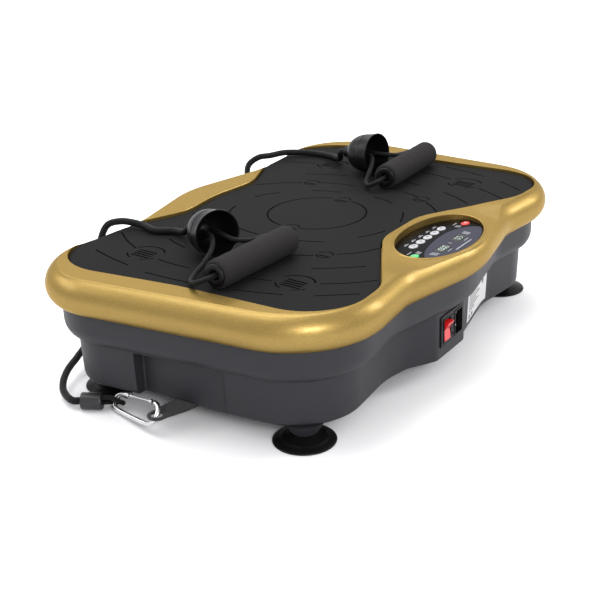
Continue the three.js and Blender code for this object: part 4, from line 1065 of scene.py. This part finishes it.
marks = [bar(x, y + 7.6, 8.0, 0.9) for x, y in mode_places]
marks += [bar(x + 0.5, y + 9.3, 4.6, 0.6) for x, y in mode_places]
marks += [bar(-50, PANEL_Y + 7.6, 9.0, 0.9), bar(49, PANEL_Y + 7.6, 8.0, 0.9)]
marks += [slanted(x, PANEL_Y + 0.5, 5.5, 0.9) for x in (-46.4, -44.2, -42.0)]
marks += [slanted(x, PANEL_Y + 1.5, 5.5, 0.9, -0.8) for x in (42.0, 44.2, 46.4)]
field_marks = [bar(-23, PANEL_Y - 22.6, 9.0, 0.8), bar(13, PANEL_Y - 22.6, 9.0, 0.8)]
field_marks += [slanted(x, PANEL_Y - 14.5, 8.0, 1.0, -0.6) for x in (-42.6, -40.0, -37.4)]
field_marks += [slanted(x, PANEL_Y - 14.5, 8.0, 1.0, 0.6) for x in (27.4, 30.0, 32.6)]
field_marks += [bar(-2, PANEL_Y - 27.4, 34.0, 1.1)]


def panel_face():
    """the oval face with its openings, its printed field and its marks"""
    bm = bmesh.new()

    def ring(loop, z):
        return [bm.verts.new((p[0] / 1000, p[1] / 1000, z / 1000)) for p in loop]

    def bridge(a, b):
        for i in range(len(a)):
            j = (i + 1) % len(a)
            bm.faces.new((a[i], a[j], b[j], b[i]))

    def edges_of(loop):
        pairs = [(loop[i], loop[(i + 1) % len(loop)]) for i in range(len(loop))]
        return [bm.edges.get(pair) or bm.edges.new(pair) for pair in pairs]

    def fill(edges, index):
        made = bmesh.ops.triangle_fill(bm, use_beauty=True, use_dissolve=False, edges=edges)
        for face in made["geom"]:
            if isinstance(face, bmesh.types.BMFace):
                face.material_index = index

    edge = oval(PANEL_A, PANEL_B, 0, PANEL_Y, 120)
    rings = [ring([(x + nx * o, y + ny * o) for x, y, nx, ny in edge], z)
             for o, z in ((0, FACE_FOOT), (0, FACE_TOP - 0.5), (-0.2, FACE_TOP - 0.1), (-0.6, FACE_TOP))]
    for a, b in zip(rings, rings[1:]):
        bridge(a, b)
    under, black_top, field_edges = edges_of(rings[0]), edges_of(rings[-1]), []
    for x, y in [*mode_places, start_place, stop_place]:
        hole = oval(CAP_A + GAP, CAP_B + GAP, x, y, 36)
        top, low = ring(hole, FACE_TOP), ring(hole, FACE_FOOT)
        bridge(top, low)
        under += edges_of(low)
        black_top += edges_of(top)
    openings = [soft_rect(x, y, WINDOW_LONG + 2 * GAP, WINDOW_WIDE + 2 * GAP, 1.2)
                for x, y in window_places.values()]
    for outline in openings + [oval(2.4, 3.6, *receiver_place, 24)]:
        top, low = ring(outline, FACE_TOP), ring(outline, FACE_TOP - 1)
        bridge(top, low)
        bm.faces.new(low)
        field_edges += edges_of(top)
    for mark in marks:
        loop = edges_of(ring(mark, FACE_TOP))
        black_top += loop
        fill(loop, 2)
    field_loop = edges_of(ring(field, FACE_TOP))
    for mark in field_marks:
        loop = edges_of(ring(mark, FACE_TOP))
        field_edges += loop
        fill(loop, 2)
    fill(field_edges + field_loop, 1)
    fill(black_top + field_loop, 0)
    fill(under, 0)
    mesh = bpy.data.meshes.new("panel_face")
    bm.to_mesh(mesh)
    bm.free()
    for material in (faceBlack, faceField, faceInk):
        mesh.materials.append(material)
    return crisp(placed("panel_face", mesh), 40)


piece(panel_face(), "platform", "black_gloss", "control_face")

# the caps, each with a printed symbol on its crown
buttonWhite, buttonGreen, buttonRed = (
    coated("button_" + word, base, rough, 40.0, 0.1, Coat_Weight=0.3, Coat_Roughness=0.15)
    for word, base, rough in (("white", (0.36, 0.36, 0.37), 0.33), ("green", (0.02, 0.42, 0.1), 0.31),
                              ("red", (0.5, 0.018, 0.016), 0.31)))
symbolBlue = coated("symbol_blue", (0.018, 0.025, 0.09), 0.4, 40.0, 0.08)
CAP_TOP = FACE_TOP + 1.0
flange = FACE_FOOT - GAP - 0.2


def ringed(x, y, radius, wide):
    """a thin ring as short plates side by side"""
    outer, inner = circle(x, y, radius, 16), circle(x, y, radius - wide, 16)
    return [[outer[i - 1], outer[i], inner[i], inner[i - 1]] for i in range(16)]


def symbol(kind, x, y):
    """the outlines of the mark on a cap"""
    if kind == "up":
        return [[(x - 1.7, y - 1.1), (x + 1.7, y - 1.1), (x, y + 1.5)]]
    if kind == "down":
        return [[(x - 1.7, y + 1.1), (x, y - 1.5), (x + 1.7, y + 1.1)]]
    if kind == "plus":
        return [bar(x, y, 3.4, 0.8), bar(x, y + 0.9, 0.8, 0.9), bar(x, y - 0.9, 0.8, 0.9)]
    if kind == "bars":
        return [bar(x - 1.1, y, 0.8, 2.6), bar(x + 1.1, y, 0.8, 2.6)]
    if kind == "square":
        return [bar(x, y, 2.6, 2.6)]
    return ringed(x, y, 1.9, 0.55)


caps = [(f"mode_button_{i + 1}", f"mode_{i + 1}", place, "button_white", buttonWhite, kind, symbolBlue)
        for i, (place, kind) in enumerate(zip(mode_places, ("ring", "up", "down", "plus", "bars")))]
caps += [("start_button", "start", start_place, "button_green", buttonGreen, "ring", faceInk),
         ("stop_button", "stop", stop_place, "button_red", buttonRed, "square", faceInk)]
for name, body, (x, y), finish, material, kind, ink in caps:
    cap = loft(name + "_cap", oval(CAP_A, CAP_B, x, y, 48), [
        (1.2, flange - 1.2), (1.2, flange), (0, flange + 0.02), (0, FACE_TOP + 0.3),
        (-0.18, FACE_TOP + 0.55), (-0.6, FACE_TOP + 0.78), (-1.3, FACE_TOP + 0.93), (-2.2, CAP_TOP)],
               material)
    piece(crisp(cap, 45), body, finish, name)
    drawn = prisms(name + "_symbol", symbol(kind, x, y), CAP_TOP - 0.25, CAP_TOP + 0.05, ink)
    piece(drawn, body, finish)

# windows with pale seven-bar figures, and the receiver's dark lens
displayGlass = coated("display_glass", (0.03, 0.034, 0.03), 0.16, 20.0, 0.06, Specular_IOR_Level=0.2)
figurePale = coated("figure_pale", (0.5, 0.62, 0.55), 0.3, 20.0, 0.05)
lens = coated("receiver_lens", (0.02, 0.004, 0.006), 0.08, 20.0, 0.04, Coat_Weight=0.5)


def figure(x, y, lit):
    """seven bars: top, upper right, lower right, bottom, lower left, upper left, middle"""
    places = [(0, 3, 2.2, 0.6), (1.5, 1.5, 0.6, 2.2), (1.5, -1.5, 0.6, 2.2), (0, -3, 2.2, 0.6),
              (-1.5, -1.5, 0.6, 2.2), (-1.5, 1.5, 0.6, 2.2), (0, 0, 2.2, 0.6)]
    return [bar(x + dx, y + dy, w, h) for i, (dx, dy, w, h) in enumerate(places) if str(i) in lit]


ZERO = "012345"
window_figures = {"time_window": [(-6.6, "12"), (-2.2, ZERO), (2.6, ZERO), (7.0, ZERO)],
                  "speed_window": [(-2.8, ZERO), (2.8, "05623")]}
for name, (x, y) in window_places.items():
    pane = loft(name + "_pane", soft_rect(x, y, WINDOW_LONG, WINDOW_WIDE, 1.0), [
        (0, FACE_TOP - 1 + GAP), (0, FACE_TOP - 0.05), (-0.15, FACE_TOP + 0.1)], displayGlass)
    piece(crisp(pane, 40), "platform", "display", name)
    shown = [loop for dx, lit in window_figures[name] for loop in figure(x + dx, y, lit)]
    if name == "time_window":
        shown += [bar(x + 0.2, y + 1.2, 0.6, 0.6), bar(x + 0.2, y - 1.2, 0.6, 0.6)]
    drawn = prisms(name + "_figures", shown, FACE_TOP - 0.1, FACE_TOP + 0.13, figurePale)
    piece(drawn, "platform", "display")
eye_lens = loft("receiver_lens", oval(2.1, 3.3, *receiver_place, 32), [
    (0, FACE_TOP - 0.9), (0, FACE_TOP + 0.05), (-0.35, FACE_TOP + 0.3), (-1.1, FACE_TOP + 0.42)], lens)
piece(crisp(eye_lens, 60), "platform", "black_gloss")


# ---- Lower housing ------------------------------------------------------------------------
# A moulded tub of textured dark grey plastic. Its upper band goes up inside the cover's
# skirt; a shoulder leads to the lower wall, recessed at both ends for the anchor tabs.
housingGrey = coated("housing_grey", (0.03, 0.03, 0.0345), 0.46, 6.0, 0.12, (1100.0, 0.00007),
                     Specular_IOR_Level=0.26)
SHOULDER_Z, LEDGE_Z = 84.0, 68.5
BAND_OUT, WALL_OUT, TUB_WALL = -1.2, -13.7, 3.0
FOOT_X, FOOT_Y, WALL_LEAN = 212, 115, 1.8
foot_places = {"foot_1": (-FOOT_X, -FOOT_Y), "foot_2": (FOOT_X, -FOOT_Y),
               "foot_3": (-FOOT_X, FOOT_Y), "foot_4": (FOOT_X, FOOT_Y)}
turns = [math.pi / 2 * k / 12 for k in range(12, 0, -1)]
tub_rows = [(WALL_OUT - 6, TUB_Z), (WALL_OUT - 4.4, TUB_Z + 0.35), (WALL_OUT - 3.0, TUB_Z + 1.2),
            (WALL_OUT - 2.1, TUB_Z + 2.5), (WALL_OUT - WALL_LEAN, TUB_Z + 4), (WALL_OUT - 0.9, 46),
            (WALL_OUT - 0.1, LEDGE_Z - 0.8)]
tub_rows += [(BAND_OUT - (BAND_OUT - WALL_OUT) * (1 - math.cos(t)),
              SHOULDER_Z - (SHOULDER_Z - LEDGE_Z) * math.sin(t)) for t in turns]
tub_rows += [(BAND_OUT, SHOULDER_Z + 0.4), (BAND_OUT, 113)]


def notch_blocks(grow, soft):
    """the recesses at both ends, or with grow the walls round them"""
    reach = END + WALL_OUT - 9 - grow
    made = []
    for side in (-1, 1):
        x0, x1 = sorted((side * reach, side * (END + 60)))
        made.append(block(f"notch_{side}_{grow}", x0, x1, -50 - grow, 50 + grow, 5, 66 + grow, soft=soft))
    return made


tub = loft("tub", cover_line, tub_rows, housingGrey)
shaped(tub, "DIFFERENCE", *notch_blocks(0, 2.5))
pod_line = rounded([(-92, -140, 2), (-47, -166, 14), (13, -166, 14), (58, -140, 2)], 4.0)
shaped(tub, "UNION", loft("pod", pod_line, [(-2, TUB_Z + 1), (-0.6, TUB_Z + 1.6), (0, TUB_Z + 3),
                                            (0, SHOULDER_Z + 2)]))
for x, y in foot_places.values():
    shaped(tub, "UNION", loft("boss", oval(10, 10, x, y, 48), [(3, TUB_Z - 11), (3.4, TUB_Z - 10.5),
                                                               (10, TUB_Z + 1)]))
hollow = loft("hollow", cover_line, [
    (WALL_OUT - 5, TUB_Z + TUB_WALL), (WALL_OUT - TUB_WALL, LEDGE_Z + 1),
    (BAND_OUT - TUB_WALL, SHOULDER_Z + 2), (BAND_OUT - TUB_WALL, 118)])
shaped(hollow, "DIFFERENCE", *notch_blocks(TUB_WALL, 0))
shaped(tub, "DIFFERENCE", hollow, block("pocket", -40, 6, -171, -126, 38, 65))
for x, y in foot_places.values():
    shaped(tub, "DIFFERENCE", loft("bore", oval(10.3, 10.3, x, y, 48), [(0, -9), (0, 51)]))
crisp(tub, 28)
evened(tub)
piece(tub, "base", "housing", "lower_housing")


# ---- Rating label -------------------------------------------------------------------------
# A white paper label stuck on the curved lower wall to the right of the inlet. Its printing
# is left as plain bars.
labelPaper = coated("label_paper", (0.5, 0.5, 0.5), 0.5, 14.0, 0.08)
labelInk = coated("label_ink", (0.1, 0.1, 0.1), 0.5, 20.0, 0.08)
front_rows = sorted((row for row in cover_line if row[1] < 0 and 20 < row[0] < 160), key=lambda row: row[0])


def on_wall(x, z, lift):
    """a point on the lower wall's outside at a place along the outline"""
    for a, b in zip(front_rows, front_rows[1:]):
        if a[0] <= x <= b[0]:
            t = (x - a[0]) / (b[0] - a[0])
            px, py, nx, ny = (a[i] + (b[i] - a[i]) * t for i in range(4))
            offset = WALL_OUT - WALL_LEAN + WALL_LEAN * (z - 25) / (LEDGE_Z - 25) + lift
            return (px + nx * offset, py + ny * offset, z)


def wall_patch(name, patches, lift, material, steps=16):
    """thin plates that follow the wall: rows of x0, x1, z0, z1"""
    points, faces = [], []
    for x0, x1, z0, z1 in patches:
        at = len(points)
        xs = [x0 + (x1 - x0) * i / steps for i in range(steps + 1)]
        for side in (-0.1, lift):
            points += [on_wall(x, z, side) for z in (z0, z1) for x in xs]
        n = steps + 1
        for i in range(steps):
            faces.append((at + 2 * n + i, at + 2 * n + i + 1, at + 3 * n + i + 1, at + 3 * n + i))
            faces.append((at + i, at + n + i, at + n + i + 1, at + i + 1))
            faces.append((at + i, at + i + 1, at + 2 * n + i + 1, at + 2 * n + i))
            faces.append((at + n + i, at + 3 * n + i, at + 3 * n + i + 1, at + n + i + 1))
        faces.append((at, at + 2 * n, at + 3 * n, at + n))
        faces.append((at + n - 1, at + 2 * n - 1, at + 4 * n - 1, at + 3 * n - 1))
    return crisp(build(name, points, faces, material), 50)


piece(wall_patch("rating_label", [(42, 112, 29, 67.5)], 0.18, labelPaper), "base", "housing")
bar_places = ((26, 60), (42, 56), (36, 52.5), (44, 49), (30, 45.5), (40, 42), (22, 38.5))
lines = [(48, 48 + width, z, z + 1.5) for width, z in bar_places]
lines += [(48, 54, 31, 35), (58, 64, 31, 35), (99, 104, 52, 57)]
piece(wall_patch("label_bars", lines, 0.24, labelInk, 8), "base", "housing")


# ---- Inlet, rocker switch and fuse drawer -------------------------------------------------
# A black snap-in module in the pod's face: a red rocker switch, a fuse drawer and the mains
# inlet with its three flat pins.
moduleBlack = coated("module_black", (0.008, 0.008, 0.009), 0.36, 24.0, 0.1, (1200.0, 0.00004),
                     Specular_IOR_Level=0.25)
rockerRed = coated("rocker_red", (0.52, 0.012, 0.014), 0.22, 26.0, 0.08, Coat_Weight=0.4,
                   Coat_Roughness=0.08)
pinSteel = coated("pin_steel", (0.72, 0.71, 0.68), 0.25, 60.0, 0.1, metal=1.0)
MODULE_FRONT, MODULE_Z = -167.6, 51.5
module = block("inlet_module", -42, 8, MODULE_FRONT, -166.3, 35, 68, moduleBlack, 0.45)
shaped(module, "UNION", block("module_body", -39.7, 5.7, -167, -140, 38.3, 64.7, soft=0.4),
       block("switch_frame", -37.6, -21.4, MODULE_FRONT - 0.7, -166.5, 38.6, 64.4, soft=0.3),
       block("inlet_frame", -13.6, 4.6, MODULE_FRONT - 0.7, -166.5, 37.6, 65.4, soft=0.3))
shaped(module, "DIFFERENCE",
       block("rocker_hole", -36.6, -22.4, -175, -149.6, 39.7, 63.3),
       block("drawer_hole", -21.3, -14.7, -175, -145.6, 39.7, 63.3),
       block("inlet_hole", -12.1, 3.1, -175, -151.6, 39.1, 63.9, soft=1.2))
crisp(module, 35)
piece(module, "base", "black_satin", "inlet_module")
pins = block("inlet_pins", -9.5, 0.5, -153.1, -151.9, 42.5, 60.5, pinSteel, 0.2)
shaped(pins, "UNION", *[
    block(f"pin_{i}", x - 2, x + 2, MODULE_FRONT + 3.5, -152.5, z - 1, z + 1, soft=0.5)
    for i, (x, z) in enumerate(((-7.1, MODULE_Z), (-2.3, MODULE_Z - 7), (-2.3, MODULE_Z + 7)))])
piece(crisp(pins, 40), "base", "bright_steel", "inlet_pins")
drawer = block("fuse_drawer", -21, -15, MODULE_FRONT - 0.6, -146.6, 40, 63, moduleBlack, 0.5)
shaped(drawer, "DIFFERENCE", block("finger_slot", -19.6, -16.4, -170, -167.4, 41.4, 44.2, soft=0.3),
       block("drawer_line", -19.8, -16.2, -170, -167.9, 46.4, 61.4, soft=0.2))
piece(crisp(drawer, 35), "drawer", "black_satin", "fuse_drawer")

# the key's two faces meet in a shallow valley; the upper one stands out
key_line = [(-7.2, -10.3), (-6.2, -6.6), (-4.8, -2.2), (-4.15, 0), (-4.8, 2.2), (-6.2, 6.6),
            (-7.2, 10.3), (-6.6, 10.5), (5, 8.1), (5, -8.1), (-6.6, -10.5)]
tilt = Matrix.Rotation(math.radians(11), 3, "X")
key_points = []
for x in (-6.2, 6.2):
    for y, z in key_line:
        key_points.append(tuple(tilt @ Vector((x, y, z)) + Vector((-29.5, MODULE_FRONT + 4, MODULE_Z))))
count = len(key_line)
key_faces = [tuple(range(count)), tuple(range(2 * count - 1, count - 1, -1))]
key_faces += [(i, count + i, count + (i + 1) % count, (i + 1) % count) for i in range(count)]
key = build("rocker_key", key_points, key_faces, rockerRed)
crisp(key, 40)
rounded_edges(key, 0.4)
piece(key, "rocker", "rocker_red", "rocker_switch")


# ---- Feet ---------------------------------------------------------------------------------
# Four dished black rubber feet, 60 mm across, pushed by their necks into the tub's bosses.
footRubber = coated("foot_rubber", (0.006, 0.006, 0.0065), 0.4, 20.0, 0.16, (600.0, 0.00006),
                    Specular_IOR_Level=0.22)
foot_line = [(4, 3.1), (8, 3.0), (15, 2.2), (22, 0.9), (26, 0), (29.2, 0), (29.8, 0.3), (30, 0.8),
             (29.8, 1.4), (29.2, 1.8), (26.5, 2.6), (24, 3.7), (22.9, 4.0), (22.3, 4.6), (19.5, 5.3),
             (16.5, 6.2), (13.5, 7.4), (11.4, 8.9), (10.2, 9.5), (10, 9.7), (10, 23.8)]
for name, (x, y) in foot_places.items():
    foot_rows = [(r - 10, z) for r, z in foot_line]
    foot = loft(name + "_rubber", oval(10, 10, x, y, 80), foot_rows, footRubber)
    piece(crisp(foot, 40), "base", "foot_rubber", name)


# ---- Drive and boards ---------------------------------------------------------------------
# Inside the tub: a motor turns a shaft through a belt, and two eccentrics on it rock the
# plate about a fixed shaft. Plates, brackets and arms are steel; two boards carry the parts.
plateSteel = coated("plate_steel", (0.36, 0.365, 0.37), 0.38, 10.0, 0.2, (300.0, 0.00005), metal=1.0)
shaftSteel = coated("shaft_steel", (0.6, 0.6, 0.6), 0.22, 40.0, 0.14, metal=1.0)
beltRubber = coated("belt_rubber", (0.016, 0.016, 0.016), 0.7, 24.0, 0.14, (500.0, 0.0001))
motorPaint = coated("motor_paint", (0.02, 0.021, 0.024), 0.42, 12.0, 0.14, (900.0, 0.00005), metal=0.2)
boardGreen = coated("board_green", (0.02, 0.1, 0.045), 0.4, 20.0, 0.12, Coat_Weight=0.2)

inside = {
    plateSteel: ["deck_plate", "base_plate", "pivot_bracket_front", "pivot_bracket_rear",
                 "pivot_lug_front", "pivot_lug_rear", "drive_arm_left", "drive_arm_right",
                 "bearing_block_left", "bearing_block_right", "motor_cradle"],
    shaftSteel: ["pivot_shaft", "drive_shaft", "driven_pulley", "motor_pulley"],
    beltRubber: ["drive_belt"],
    motorPaint: ["motor_body"],
    boardGreen: ["power_board", "control_board"],
}
for material, names in inside.items():
    for name in names:
        part = nodes_of[name]
        part.data.materials.clear()
        part.data.materials.append(material)
        rounded_edges(part, 0.5)
